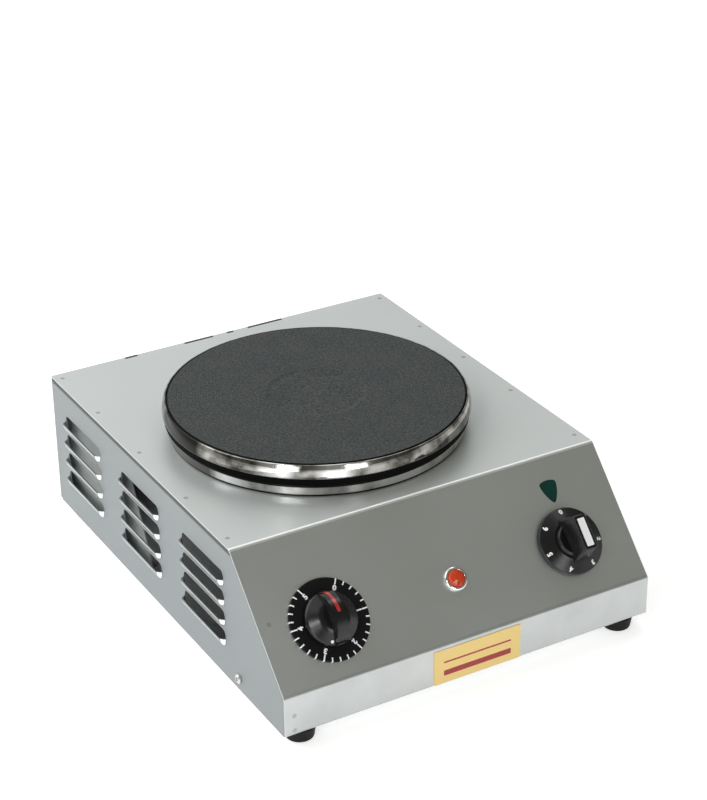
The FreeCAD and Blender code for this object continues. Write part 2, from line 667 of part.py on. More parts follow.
def ridge(lift, width):
    """Arched ridge over a domed knob, its crown on a circle through both rims and the apex."""
    foot = KNOB_GAP + DIAL_T + 1.5
    ends = [V(0, -KNOB_R + 0.6, foot), V(0, KNOB_R - 0.6, foot)]
    crown = Part.Arc(ends[0], V(0, 0, KNOB_H), ends[1]).toShape().Curve
    arc = Part.Circle(crown.Center, X_AXIS, crown.Radius + lift)
    rod = Part.Face(Part.Wire(arc.toShape())).extrude(X_AXIS * width)
    rod.translate(V(-width / 2, 0, 0))
    keep = block(width + 2, 2 * KNOB_R, foot, KNOB_H + 5)
    return rod.common(keep).common(cylinder(KNOB_R - 0.3, 0, KNOB_H + 5))


def knob_pointer_local():
    """Red inlay along the crown of the ridge, from the upper rim to the apex."""
    raised = ridge(0.25, POINTER_W)
    inside = ridge(-0.9, POINTER_W + 2)
    upper = block(POINTER_W + 2, KNOB_R - 1.2, 0, KNOB_H + 5, V(0, (KNOB_R - 1.2) / 2 + 0.6, 0))
    return raised.cut(inside).common(upper)


def thermostat_knob():
    """Domed knob with a drafted ridge across it and a groove for its pointer."""
    low = DIAL_T + KNOB_GAP
    dome = turned([(0, low), (KNOB_R, low), (KNOB_R, KNOB_EDGE), (10, KNOB_SHOULDER), (0, KNOB_SHOULDER)],
                  [0, 0.5, 3.5, 8, 0])
    bar = ridge(0, RIDGE_W)
    for side in (-1, 1):
        wedge = block(10, 4 * KNOB_R, -5, 2 * KNOB_H, V(side * 5, 0, 0))
        wedge.rotate(V(0, 0, 0), Y_AXIS, side * -7)
        bar = bar.cut(moved(wedge, V(side * (RIDGE_W / 2 + 0.3), 0, KNOB_SHOULDER)))
    knob = dome.fuse(bar).removeSplitter().cut(knob_pointer_local())
    return on_panel(knob.cut(cylinder(SPINDLE_R, low - 1, KNOB_SHOULDER + 2)), -CONTROL_X)


def knob_pointer():
    """Red inlay of the left knob, set on the panel."""
    return on_panel(knob_pointer_local(), -CONTROL_X)


def grip_block(foot, top, low, high, radius):
    """Tapered bar with rounded upright edges between two rectangles."""
    wires = []
    for (wide, long), height in ((foot, low), (top, high)):
        points = [V(x * wide / 2, y * long / 2, height) for x, y in CORNERS]
        wires.append(rounded(points, [radius] * 4, closed=True))
    return Part.makeLoft(wires, True, True)


def switch_knob_insert_local():
    """White inlay on top of the bar."""
    return rounded_block(INSERT_SIZE[0], INSERT_SIZE[1], GRIP_H - INSERT_T, GRIP_H + 0.2, 0.5)


def switch_knob():
    """Skirted knob with a round hub and a tall tapered bar."""
    skirt = turned([(0, KNOB_GAP), (SKIRT_R, KNOB_GAP), (SKIRT_R, SKIRT_EDGE), (HUB_R + 1.5, SKIRT_TOP),
                    (HUB_R, SKIRT_TOP), (HUB_R - 1, HUB_H), (0, HUB_H)], [0, 0.4, 1.0, 0, 0, 1.5, 0])
    bar = grip_block(GRIP_FOOT, GRIP_TOP, SKIRT_TOP - 2, GRIP_H, 2.0)
    top_edges = [edge for edge in bar.Edges if edge.BoundBox.ZMin > GRIP_H - 1e-3]
    bar = bar.makeFillet(0.9, top_edges)
    knob = skirt.fuse(bar).removeSplitter().cut(switch_knob_insert_local())
    knob = knob.cut(cylinder(SKIRT_R - 3, KNOB_GAP - 1, 3.4))
    return on_panel(knob.cut(cylinder(SPINDLE_R, 0, HUB_H + 4)), CONTROL_X)


def switch_knob_insert():
    """White inlay of the right knob, set on the panel."""
    return on_panel(switch_knob_insert_local(), CONTROL_X)


def spindle(top, x):
    """Round spindle from inside a control body up into its knob."""
    return on_panel(cylinder(SPINDLE_R, SPINDLE_LOW, top), x)


def control_body(size, depth, tab_pitch, tabs):
    """Moulded body behind the panel: a bracket, a bush, a housing and rows of tabs."""
    front = -SHEET - BRACKET_T
    back = -SHEET - depth
    inset = size - 2 * CAP_INSET
    bracket = rounded_block(BRACKET_SIZE[0], BRACKET_SIZE[1], front, -SHEET, BODY_CORNER)
    bush = cylinder(BUSH_R, front, BUSH_OUT)
    body = rounded_block(size, size, back, front, BODY_CORNER)
    cap = rounded_block(inset, inset, back - CAP_H, back, BODY_CORNER)
    blades = []
    for i in range(tabs):
        for row in (-1, 1):
            place = V((i - (tabs - 1) / 2) * tab_pitch, row * size / 4, 0)
            blades.append(block(BLADE[0], BLADE[1], back - CAP_H - BLADE[2], back - CAP_H, place))
    whole = bracket.fuse([bush, body, cap] + blades).removeSplitter()
    for right in (-SCREW_SPREAD, SCREW_SPREAD):
        whole = whole.cut(cylinder(M4_R + NUT_FIT, -SHEET - CONTROL_SCREW - 2, 0, V(right, 0, 0)))
    return whole.cut(cylinder(SPINDLE_R + SPINDLE_FIT, SPINDLE_LOW - 0.2, BUSH_OUT + 1))


THERMOSTAT = (36.0, 30.0, 12.0, 2)      # size, depth, pitch and columns of tabs
SWITCH = (44.0, 34.0, 13.0, 3)


def control_screws():
    """Screws through the panel into both control bodies."""
    screws = []
    for x in (-CONTROL_X, CONTROL_X):
        for right in (-SCREW_SPREAD, SCREW_SPREAD):
            screws.append(on_panel(moved(pan_screw(CONTROL_SCREW), V(right, 0, 0)), x))
    return group(screws)


LENS_R = 6.3
LENS_SEAT = 0.8
LENS_STEPS = ((LENS_R, 2.4), (5.2, 4.0), (2.5, 5.0))    # radius and height of each facetted ring
LENS_FACETS = 12
BEZEL_R = 8.6
BEZEL_H = 2.6
LAMP_TAB = 2.5          # tabs either side of the lamp's axis
LAMP_TAB_SIZE = (2.8, 0.5, 8.0)
LAMP_LOW = -26.0        # inner end of the lamp's barrel behind the panel
PILOT_NUT = (16.0, 4.0)     # size across the flats and height


def pilot_bezel():
    """Chrome ring round the pilot lens."""
    seat_r = LENS_R + 0.1
    inner = PILOT_HOLE_R - 0.2
    outline = [(inner, 0), (BEZEL_R, 0), (BEZEL_R, BEZEL_H), (seat_r, BEZEL_H), (seat_r, LENS_SEAT),
               (inner, LENS_SEAT)]
    return on_panel(turned(outline, [0, 0.4, 1.6, 0.4, 0, 0]), PILOT_X)


def pilot_lens():
    """Lens with a facetted crown."""
    wires = []
    for radius, height in LENS_STEPS:
        turns = [FreeCAD.Rotation(Z_AXIS, 360 * i / LENS_FACETS) for i in range(LENS_FACETS + 1)]
        wires.append(Part.makePolygon([turn.multVec(V(radius, 0, height)) for turn in turns]))
    crown = Part.makeLoft(wires, True, True)
    return on_panel(crown.fuse(cylinder(LENS_R, LENS_SEAT, LENS_STEPS[0][1])), PILOT_X)


def pilot_body():
    """Barrel of the pilot lamp with two tabs."""
    barrel = cylinder(PILOT_HOLE_R - 0.3, LAMP_LOW, LENS_SEAT)
    wide, thick, long = LAMP_TAB_SIZE
    tabs = [block(wide, thick, LAMP_LOW - long, LAMP_LOW, V(0, y, 0)) for y in (-LAMP_TAB, LAMP_TAB)]
    return on_panel(barrel.fuse(tabs), PILOT_X)


def pilot_nut():
    """Nut behind the panel."""
    return on_panel(hex_nut(PILOT_NUT[0], PILOT_HOLE_R - 0.25, -SHEET - PILOT_NUT[1], -SHEET), PILOT_X)


# Supply and wiring.

BLOCK_AT = V(70, Y_REAR - 75, Z_FLOOR)
BLOCK_SIZE = (46.0, 22.0, 20.0)
POLE_PITCH = 14.0
EARTH_AT = V(120, Y_REAR - 70, Z_FLOOR)
WIRE_R = 1.4
WIRE_BEND = 9.0
GLAND_BORE_R = 4.6
GLAND_THREAD = 14.0     # length of the thread inside the rear panel
GLAND_HEX = (20.0, 5.0)     # size across the flats and height
GLAND_CAP_R = 9.6
GLAND_NUT = (21.0, 5.0)
CAPILLARY_R = 0.9
BULB_R = 3.0
BULB_AT = V(-52, 20, DISH_LOW - DISH_T - 4)     # bulb's middle from the burner axis
BULB_LENGTH = 70.0
CLIP_W = 16.0
CLIP_EAR = 6.2


def terminal_block():
    """Three-pole mains block on the base, with wire holes through it and screw wells."""
    wide, deep, high = BLOCK_SIZE
    body = rounded_block(wide, deep, 0, high, 2)
    for i in range(3):
        x = (i - 1) * POLE_PITCH
        hole = Part.makeCylinder(WIRE_R + 0.6, 7, V(x, -deep / 2, high / 2), Y_AXIS)
        back = Part.makeCylinder(WIRE_R + 0.6, 7, V(x, deep / 2 - 7, high / 2), Y_AXIS)
        wells = [cylinder(2.5, high - 6, high + 1, V(x, y, 0)) for y in (-5, 5)]
        body = body.cut([hole, back] + wells)
    return moved(body, BLOCK_AT)


def earth_stud():
    """Earthing stud on the base."""
    return moved(cylinder(M4_R, 0, 14), EARTH_AT)


def earth_nut():
    """Nut on the earthing stud."""
    return moved(hex_nut(M4_NUT, M4_R + NUT_FIT, 0, M4_NUT_H), EARTH_AT)


def cable_gland():
    """Cable gland through the rear panel: a thread, a hexagon and a domed cap with a bore."""
    across, high = GLAND_HEX
    thread = cylinder(GLAND_THREAD_R, -GLAND_THREAD, 0)
    flats = hex_prism(across, 0, high)
    outline = [(0, high), (GLAND_CAP_R, high), (GLAND_CAP_R, GLAND_REACH), (0, GLAND_REACH)]
    cap = turned(outline, [0, 0, 4, 0])
    bore = cylinder(GLAND_BORE_R, -GLAND_THREAD - 1, GLAND_REACH + 1)
    gland = thread.fuse([flats, cap]).cut(bore).removeSplitter()
    return moved(gland, GLAND, X_AXIS, -90)


def gland_nut():
    """Lock nut of the gland inside the rear panel."""
    nut = hex_nut(GLAND_NUT[0], GLAND_THREAD_R + NUT_FIT, -SHEET - GLAND_NUT[1], -SHEET)
    return moved(nut, GLAND, X_AXIS, -90)


def thermostat_bulb():
    """Sensing bulb of the thermostat under the plate's dish."""
    start = BURNER + BULB_AT - Y_AXIS * (BULB_LENGTH / 2)
    return Part.makeCylinder(BULB_R, BULB_LENGTH, start, Y_AXIS)


def bulb_clip():
    """Sheet clip that holds the bulb to the dish."""
    inner = BULB_R + 0.1
    lift = -BULB_AT.z + DISH_LOW - DISH_T
    wall = inner + DISH_T
    high = lift - DISH_T
    points = [(wall + CLIP_EAR, high), (wall, high), (wall, -wall), (-wall, -wall), (-wall, high),
              (-wall - CLIP_EAR, high)]
    skin = [BURNER + BULB_AT + V(x, -CLIP_W / 2, z) for x, z in points]
    return folded_sheet(skin, 1.2, Y_AXIS * CLIP_W, DISH_T)


def capillary_tube():
    """Thin tube from the bulb to the back of the thermostat."""
    depth = -SHEET - THERMOSTAT[1] - CAP_H
    start = BURNER + BULB_AT - Y_AXIS * (BULB_LENGTH / 2)
    finish = panel_point(-CONTROL_X, 0, 0, depth)
    before = panel_point(-CONTROL_X, 0, 0, depth - 26)
    points = [start, start + V(0, -16, 0), V(before.x + 10, start.y - 34, 62), before, finish]
    return tube(points, 6, CAPILLARY_R)


def tab_point(x, kind, column, row, out):
    """Point at the end of a control's tab, moved out along the tab."""
    size, depth, pitch, tabs = kind
    right = (column - (tabs - 1) / 2) * pitch
    return panel_point(x, right, row * size / 4, -SHEET - depth - CAP_H - BLADE[2] - out)


def pole_point(pole, out):
    """Point in front of a pole of the mains block."""
    return BLOCK_AT + V((pole - 1) * POLE_PITCH, -BLOCK_SIZE[1] / 2 - out, BLOCK_SIZE[2] / 2)


def pin_point(pin, out):
    """Point under a pin of the plate's terminals."""
    place = V((pin - 1.5) * TERMINAL_PITCH, 0, -TERMINAL_SIZE[2] - 4 - out)
    return BURNER + TERMINAL_AT + place


def wiring():
    """Insulated conductors from the mains block to the controls, the lamp and the plate."""
    wires = []
    for i in range(2):
        tab = [tab_point(CONTROL_X, SWITCH, i, -1, out) for out in (0, 14)]
        wires.append(tab + [pole_point(i, 40), pole_point(i, 0)])
    for i in range(3):
        tab = [tab_point(CONTROL_X, SWITCH, i, 1, out) for out in (0, 18)]
        wires.append(tab + [pin_point(i, 44), pin_point(i, 0)])
    for side in (-1, 1):
        tab_end = LAMP_LOW - LAMP_TAB_SIZE[2]
        lamp = [panel_point(PILOT_X, 0, side * LAMP_TAB, out) for out in (tab_end, tab_end - 12)]
        level = 30 + 8 * side
        turn = V(PILOT_X + 34, lamp[1].y + 12, level)
        wires.append(lamp + [turn, V(72, lamp[1].y + 6, level)])
    tab = [tab_point(-CONTROL_X, THERMOSTAT, 1, -1, out) for out in (0, 10)]
    wires.append(tab + [V(-40, -118, 22), V(40, -112, 22)])
    return group([tube(points, WIRE_BEND, WIRE_R) for points in wires])


PARTS = {
    "top_cover": top_cover,
    "left_side_panel": left_side_panel,
    "right_side_panel": right_side_panel,
    "rear_panel": rear_panel,
    "base_plate": base_plate,
    "side_shields": side_shields,
    "foot_screws": foot_screws,
    "foot_nuts": foot_nuts,
    "side_screws": side_screws,
    "rear_screws": rear_screws,
    "front_label": front_label,
    "spill_ring": spill_ring,
    "neck_ring": neck_ring,
    "plate_rim": plate_rim,
    "hot_plate": hot_plate,
    "heating_element": heating_element,
    "plate_dish": plate_dish,
    "clamp_bridge": clamp_bridge,
    "plate_stud": plate_stud,
    "stud_washers": stud_washers,
    "stud_nuts": stud_nuts,
    "plate_terminals": plate_terminals,
    "dial_plate": dial_plate,
    "thermostat_knob": thermostat_knob,
    "knob_pointer": knob_pointer,
    "thermostat_spindle": lambda: spindle(KNOB_SHOULDER + 1.5, -CONTROL_X),
    "thermostat_body": lambda: on_panel(control_body(*THERMOSTAT), -CONTROL_X),
    "thermostat_bulb": thermostat_bulb,
    "bulb_clip": bulb_clip,
    "capillary_tube": capillary_tube,
    "switch_knob": switch_knob,
    "switch_knob_insert": switch_knob_insert,
    "switch_spindle": lambda: spindle(HUB_H + 3.5, CONTROL_X),
    "switch_body": lambda: on_panel(control_body(*SWITCH), CONTROL_X),
    "control_screws": control_screws,
    "pilot_bezel": pilot_bezel,
    "pilot_lens": pilot_lens,
    "pilot_body": pilot_body,
    "pilot_nut": pilot_nut,
    "terminal_block": terminal_block,
    "earth_stud": earth_stud,
    "earth_nut": earth_nut,
    "cable_gland": cable_gland,
    "gland_nut": gland_nut,
    "wiring": wiring,
}
for foot_name, foot_place in FOOT_PLACES.items():
    PARTS["foot_" + foot_name] = lambda place=foot_place: rubber_foot(place)

os.makedirs("parts", exist_ok=True)
for name, make in PARTS.items():
    shape = make()
    shape.exportStep("parts/" + name + ".step")
    print(name, "solids", len(shape.Solids), "volume", round(shape.Volume), "valid", shape.isValid())
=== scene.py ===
# %% [markdown]
# # The looks of a hot plate burner
# The solids of the burner arrive finished: a folded steel housing, an iron plate in a bright rim, two
# knobs and a lamp. This lesson gives them their finishes, adds the printed scales and the small marks
# of the workshop, and sets up a plain studio around them. Every length is in metres.

# %% Load the solids
import json
import math

import bmesh
import bpy
import numpy as np
from mathutils import Matrix, Vector


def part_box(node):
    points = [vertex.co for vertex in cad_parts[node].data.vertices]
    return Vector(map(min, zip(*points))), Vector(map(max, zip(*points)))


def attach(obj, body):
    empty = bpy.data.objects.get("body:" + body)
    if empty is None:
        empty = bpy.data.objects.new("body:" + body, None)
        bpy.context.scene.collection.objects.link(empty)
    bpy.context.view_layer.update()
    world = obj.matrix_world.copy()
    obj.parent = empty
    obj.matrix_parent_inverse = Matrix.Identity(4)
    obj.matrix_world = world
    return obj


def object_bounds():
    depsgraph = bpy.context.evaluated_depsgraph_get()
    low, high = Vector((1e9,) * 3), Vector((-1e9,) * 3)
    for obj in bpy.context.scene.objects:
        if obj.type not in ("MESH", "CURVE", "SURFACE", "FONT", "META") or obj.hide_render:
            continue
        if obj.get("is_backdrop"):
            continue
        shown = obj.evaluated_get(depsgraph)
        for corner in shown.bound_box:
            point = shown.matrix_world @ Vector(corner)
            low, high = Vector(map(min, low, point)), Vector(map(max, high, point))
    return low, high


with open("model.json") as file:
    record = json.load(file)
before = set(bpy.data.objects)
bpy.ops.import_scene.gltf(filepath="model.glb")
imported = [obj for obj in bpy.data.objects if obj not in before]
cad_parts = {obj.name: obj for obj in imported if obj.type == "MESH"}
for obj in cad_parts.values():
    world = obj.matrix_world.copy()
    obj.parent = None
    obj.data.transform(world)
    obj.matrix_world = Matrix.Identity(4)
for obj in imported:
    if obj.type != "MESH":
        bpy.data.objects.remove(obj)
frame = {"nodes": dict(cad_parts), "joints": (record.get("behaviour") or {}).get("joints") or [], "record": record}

MM = 0.001
CAD_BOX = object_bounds()
NODES = frame["nodes"]
JOINTS = {joint["name"]: joint for joint in frame["joints"]}
SLOT_OF = {row["node"]: row["material_slot"] for row in frame["record"]["subparts"]}
print(len(NODES), "solids,", len(JOINTS), "joints, box", [round(x, 4) for x in CAD_BOX[1] - CAD_BOX[0]])

# %% [markdown]
# ## The camera
# The view looks down at the front left corner with a long lens, so that parallel edges stay nearly
# parallel. A camera can be placed by hand, but an angle round the object, an angle above the floor and
# a distance say the same thing in three numbers that are easy to change.

# %% Place the camera
VIEW_AZIMUTH = math.radians(-29.68)
VIEW_ELEVATION = math.radians(27.33)
VIEW_ROLL = math.radians(-0.70)
VIEW_DISTANCE = 1.6462
VIEW_TARGET = Vector((0.03472, 0.02995, 0.11422))
LENS_MM = 98.5


def turned_axes(azimuth, elevation, roll):
    """Right, up and back of a camera: back points from the target to the camera, and roll turns the rest."""
    flat = math.cos(elevation)
    back = Vector((math.sin(azimuth) * flat, -math.cos(azimuth) * flat, math.sin(elevation)))
    right = Vector((math.cos(azimuth), math.sin(azimuth), 0))
    up = back.cross(right)
    rolled_right = right * math.cos(roll) + up * math.sin(roll)
    rolled_up = up * math.cos(roll) - right * math.sin(roll)
    return rolled_right, rolled_up, back


VIEW_RIGHT, VIEW_UP, VIEW_BACK = turned_axes(VIEW_AZIMUTH, VIEW_ELEVATION, VIEW_ROLL)
camera = bpy.data.objects.new("camera", bpy.data.cameras.new("camera"))
bpy.context.scene.collection.objects.link(camera)
camera.data.lens = LENS_MM
turn = Matrix((VIEW_RIGHT, VIEW_UP, VIEW_BACK)).transposed().to_4x4()
camera.matrix_world = Matrix.Translation(VIEW_TARGET + VIEW_BACK * VIEW_DISTANCE) @ turn
bpy.context.scene.camera = camera
print("camera at", [round(x, 3) for x in camera.location])

# %% [markdown]
# ## The floor
# A white floor fills the picture under and behind the object. Lamps alone leave it a little grey, so it
# also glows, but only for the rays that come from the lens, a mirror or a glass. Matt surfaces get no extra
# light from it. One helper adds every node: it takes the node's settings, and a value or another node's
# socket for each input.

# %% Make the floor
FLOOR_HALF = 40.0
FLOOR_WHITE = 0.82
FLOOR_LIFT = 0.58        # strength of the glow


def feed(tree, socket, value):
    """Give a socket a value, or a link if the value is a socket itself."""
    if isinstance(value, bpy.types.NodeSocket):
        tree.links.new(value, socket)
    else:
        socket.default_value = value


def add_node(tree, kind, inputs=None, **settings):
    """New shader node with its settings, and with its inputs given by name or number."""
    node = tree.nodes.new("ShaderNode" + kind)
    for name, value in settings.items():
        setattr(node, name, value)
    for key, value in (inputs or {}).items():
        feed(tree, node.inputs[key], value)
    return node


def math_node(tree, operation, *values):
    """Result of a Math node on numbers or sockets."""
    return add_node(tree, "Math", dict(enumerate(values)), operation=operation).outputs[0]


def seen_directly(tree):
    """Value that is 1 for rays from the lens, from a mirror and from a glass, and 0 for the rest."""
    path = add_node(tree, "LightPath").outputs
    lens_or_glass = math_node(tree, "ADD", path["Is Camera Ray"], path["Is Transmission Ray"])
    any_of_them = math_node(tree, "ADD", lens_or_glass, path["Is Glossy Ray"])
    return math_node(tree, "MINIMUM", any_of_them, 1.0)


def make_floor():
    """Flat white square under the object: a matt surface plus its glow."""
    corners = [(x * FLOOR_HALF, y * FLOOR_HALF, 0) for x, y in ((-1, -1), (1, -1), (1, 1), (-1, 1))]
    mesh = bpy.data.meshes.new("floor")
    mesh.from_pydata(corners, [], [(0, 1, 2, 3)])
    floor = bpy.data.objects.new("floor", mesh)
    bpy.context.scene.collection.objects.link(floor)
    paint = bpy.data.materials.new("floor_white")
    paint.use_nodes = True
    tree = paint.node_tree
    tree.nodes.clear()
    matt = add_node(tree, "BsdfDiffuse", {"Color": (FLOOR_WHITE, FLOOR_WHITE, FLOOR_WHITE, 1)})
    lift = math_node(tree, "MULTIPLY", seen_directly(tree), FLOOR_LIFT)
    glow = add_node(tree, "Emission", {"Strength": lift})
    both = add_node(tree, "AddShader", {0: matt.outputs[0], 1: glow.outputs[0]})
    add_node(tree, "OutputMaterial", {"Surface": both.outputs[0]})
    mesh.materials.append(paint)
    floor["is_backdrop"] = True


make_floor()
print("floor", 2 * FLOOR_HALF, "m wide")

# %% [markdown]
# ## The room
# Satin steel has almost no colour of its own: it shows the room. The top mirrors what is behind the
# object, the front band mirrors the floor, and the sloping panel mirrors what hangs above and in front.
# A room that is white behind and overhead and dim beside the lens therefore gives a pale top, a pale band
# and a grey slope, as in a studio with one big white screen. The screen and a white strip of backdrop along
# the horizon are painted into the world by direction, so they stay put when the camera moves.

# %% Make the room
SCREEN_TOWARDS = Vector((-0.25, 0.75, 0.61)).normalized()
SCREEN_CORE = 0.85       # cosines of the angles where the screen is full and where it ends
SCREEN_EDGE = 0.35
SCREEN_COLOUR = (0.93, 0.95, 0.95)
ROOM_COLOUR = (0.205, 0.203, 0.172)
BACKDROP_COLOUR = (1.0, 1.0, 1.0)
BACKDROP_FULL = 0.08     # height of a direction up to which the backdrop is white, and where it has gone
BACKDROP_GONE = 0.14


def mix_colours(tree, factor, low, high):
    """Mix of two colours, each given as red, green, blue or as a socket."""
    low, high = ((*colour, 1) if isinstance(colour, tuple) else colour for colour in (low, high))
    return add_node(tree, "Mix", {"Factor": factor, 6: low, 7: high}, data_type="RGBA").outputs[2]


def soft_step(tree, value, low, high):
    """Mask that rises smoothly from 0 to 1 between two values."""
    inputs = {"Value": value, "From Min": low, "From Max": high}
    return add_node(tree, "MapRange", inputs, interpolation_type="SMOOTHSTEP").outputs["Result"]


def make_room():
    """World of three parts by direction: a white strip at the horizon, a dim room and a soft white screen."""
    room = bpy.data.worlds.new("studio")
    bpy.context.scene.world = room
    room.use_nodes = True
    tree = room.node_tree
    way = add_node(tree, "TexCoord").outputs["Generated"]
    towards = add_node(tree, "VectorMath", {0: way, 1: SCREEN_TOWARDS}, operation="DOT_PRODUCT")
    rise = add_node(tree, "SeparateXYZ", {0: way}).outputs["Z"]
    on_screen = soft_step(tree, towards.outputs["Value"], SCREEN_EDGE, SCREEN_CORE)
    studio = mix_colours(tree, on_screen, ROOM_COLOUR, SCREEN_COLOUR)
    above_strip = soft_step(tree, rise, BACKDROP_FULL, BACKDROP_GONE)
    whole = mix_colours(tree, above_strip, BACKDROP_COLOUR, studio)
    feed(tree, tree.nodes["Background"].inputs["Color"], whole)


make_room()
bpy.context.scene.view_settings.view_transform = "Standard"
print("screen full within", round(math.degrees(math.acos(SCREEN_CORE))), "degrees of its middle")

# %% [markdown]
# ## The lamps
# A softbox at the rear left is the main lamp, and a small one overhead draws the white line along the bend
# between the top and the slope. A small fill beside the lens shines into the louvres, and two tall lamps
# stand there like windows, for the bright rim to mirror. The lens itself does not see any of them.

# %% Make the lamps
LAMPS = {                # place, width, height and watts of each softbox
    "key": (Vector((-0.85, 0.70, 1.05)), 1.4, 1.4, 10.2),
    "overhead": (Vector((0.80, 0.36, 1.72)), 0.55, 0.55, 2.6),
    "side_fill": (Vector((-1.30, -1.05, 1.15)), 0.3, 0.3, 5.0),
    "left_window": (Vector((-1.50, -1.32, 0.50)), 0.5, 0.8, 6.0),
    "right_window": (Vector((-0.09, -2.00, 0.50)), 0.5, 0.8, 6.0),
}


def make_lamp(name, place, width, height, watts):
    """Softbox at a place, aimed at the middle of the object."""
    light = bpy.data.lights.new(name, "AREA")
    light.shape = "RECTANGLE"
    light.size = width
    light.size_y = height
    light.energy = watts
    lamp = bpy.data.objects.new(name, light)
    bpy.context.scene.collection.objects.link(lamp)
    lamp.visible_camera = False
    middle = (CAD_BOX[0] + CAD_BOX[1]) / 2
    lamp.rotation_mode = "QUATERNION"
    lamp.rotation_quaternion = (middle - place).to_track_quat("-Z", "Y")
    lamp.location = place


for name, (place, width, height, watts) in LAMPS.items():
    make_lamp(name, place, width, height, watts)
print(len(LAMPS), "lamps of", round(sum(row[3] for row in LAMPS.values()), 1), "W together")

# %% [markdown]
# ## Shared effects for the finishes
# Rolled and brushed sheet has fine streaks one way and soft cloudy patches. Castings, rubber and moulded
# plastic have a fine skin with no direction. Both are written once as node groups. They read Object
# coordinates, which are the object's own metres, so a streak keeps its real size on every piece. A group
# gives out only what changes over the surface, and each material keeps its own shader.

# %% Node group for sheet
VECTOR_SOCKETS = ("Stretch", "Normal")   # the other sockets of the groups are plain numbers
SHEET_BUMP = 0.04 * MM   # depth of the relief at full strength
STREAK_DETAIL = 3.0      # octaves of each noise
CLOUD_DETAIL = 4.0


def new_group(name, inputs, outputs):
    """Empty shader group with named sockets, and the nodes at its two ends."""
    tree = bpy.data.node_groups.new(name, "ShaderNodeTree")
    for labels, way in ((inputs, "INPUT"), (outputs, "OUTPUT")):
        for label in labels:
            kind = "NodeSocketVector" if label in VECTOR_SOCKETS else "NodeSocketFloat"
            tree.interface.new_socket(label, in_out=way, socket_type=kind)
    return tree, tree.nodes.new("NodeGroupInput").outputs, tree.nodes.new("NodeGroupOutput").inputs


def object_vector(tree):
    """The object's own coordinates."""
    return add_node(tree, "TexCoord").outputs["Object"]


def blend_values(tree, factor, low, high):
    """Number from low to high, which may be sockets, as a factor goes from 0 to 1."""
    inputs = {"Value": factor, "To Min": low, "To Max": high}
    return add_node(tree, "MapRange", inputs).outputs["Result"]


def noise_of(tree, vector, scale, detail):
    """Noise from 0 to 1 over a vector."""
    return add_node(tree, "TexNoise", {"Vector": vector, "Scale": scale, "Detail": detail}).outputs["Fac"]


def bump_of(tree, height, strength, depth):
    """Normal bent by a height, with a depth in metres."""
    inputs = {"Height": height, "Strength": strength, "Distance": depth}
    return add_node(tree, "Bump", inputs).outputs["Normal"]


def brushed_sheet_group():
    """Streaks from noise stretched by a vector, clouds from wide noise, and a bump from the streaks."""
    tree, given, made = new_group("brushed_sheet", ("Stretch", "Cloud Scale", "Smooth", "Rough", "Relief"),
                                  ("Cloud", "Roughness", "Normal"))
    place = object_vector(tree)
    stretched = add_node(tree, "VectorMath", {0: place, 1: given["Stretch"]}, operation="MULTIPLY")
    streak = noise_of(tree, stretched.outputs[0], 1.0, STREAK_DETAIL)
    cloud = noise_of(tree, place, given["Cloud Scale"], CLOUD_DETAIL)
    mean = math_node(tree, "MULTIPLY_ADD", cloud, 0.5, blend_values(tree, streak, 0.0, 0.5))
    feed(tree, made["Cloud"], cloud)
    feed(tree, made["Roughness"], blend_values(tree, mean, given["Smooth"], given["Rough"]))
    feed(tree, made["Normal"], bump_of(tree, streak, given["Relief"], SHEET_BUMP))
    return tree


BRUSHED_SHEET = brushed_sheet_group()
print("group:", BRUSHED_SHEET.name, "with", len(BRUSHED_SHEET.nodes), "nodes")

# %% [markdown]
# ## The effect for moulded skins
# The second group needs no direction, so its noise is not stretched. Fine grain gives the relief, and wide
# patches change the roughness.

# %% Node group for moulded skins
SKIN_BUMP = 0.2 * MM
GRAIN_DETAIL = 2.0
PATCH_DETAIL = 3.0


def fine_skin_group():
    """Even grain from fine noise and soft patches from wide noise, with a bump from the grain."""
    tree, given, made = new_group("fine_skin", ("Grain Scale", "Patch Scale", "Smooth", "Rough", "Relief"),
                                  ("Grain", "Patch", "Roughness", "Normal"))
    place = object_vector(tree)
    grain = noise_of(tree, place, given["Grain Scale"], GRAIN_DETAIL)
    patch = noise_of(tree, place, given["Patch Scale"], PATCH_DETAIL)
    feed(tree, made["Grain"], grain)
    feed(tree, made["Patch"], patch)
    feed(tree, made["Roughness"], blend_values(tree, patch, given["Smooth"], given["Rough"]))
    feed(tree, made["Normal"], bump_of(tree, grain, given["Relief"], SKIN_BUMP))
    return tree


FINE_SKIN = fine_skin_group()
print("group:", FINE_SKIN.name, "with", len(FINE_SKIN.nodes), "nodes")

# %% [markdown]
# ## Materials from the groups
# Each finish is two close colours mixed by a mask, a roughness that wanders a little, and a small relief.
# A number that is the same all over, such as how metallic a finish is, sits directly on the shader. The
# rear panel and the chrome ring of the lamp need nothing more, so they come first.

# %% Material helpers and two plain steels
ALONG_X = (25, 1100, 1100)       # waves of the streaks per metre in X, Y and Z
ALONG_Y = (1100, 25, 1100)
EVEN = (900, 900, 900)
PATCH_SCALE = 25.0
PLAIN_STEELS = {         # dark and pale colour, streaks, least and most rough, relief and clouds
    "rear_steel": ((0.52, 0.53, 0.53), (0.60, 0.61, 0.61), ALONG_X, 0.32, 0.48, 0.08, 9.0),
    "bezel_chrome": ((0.80, 0.80, 0.80), (0.88, 0.88, 0.88), EVEN, 0.04, 0.10, 0.02, 200.0),
}


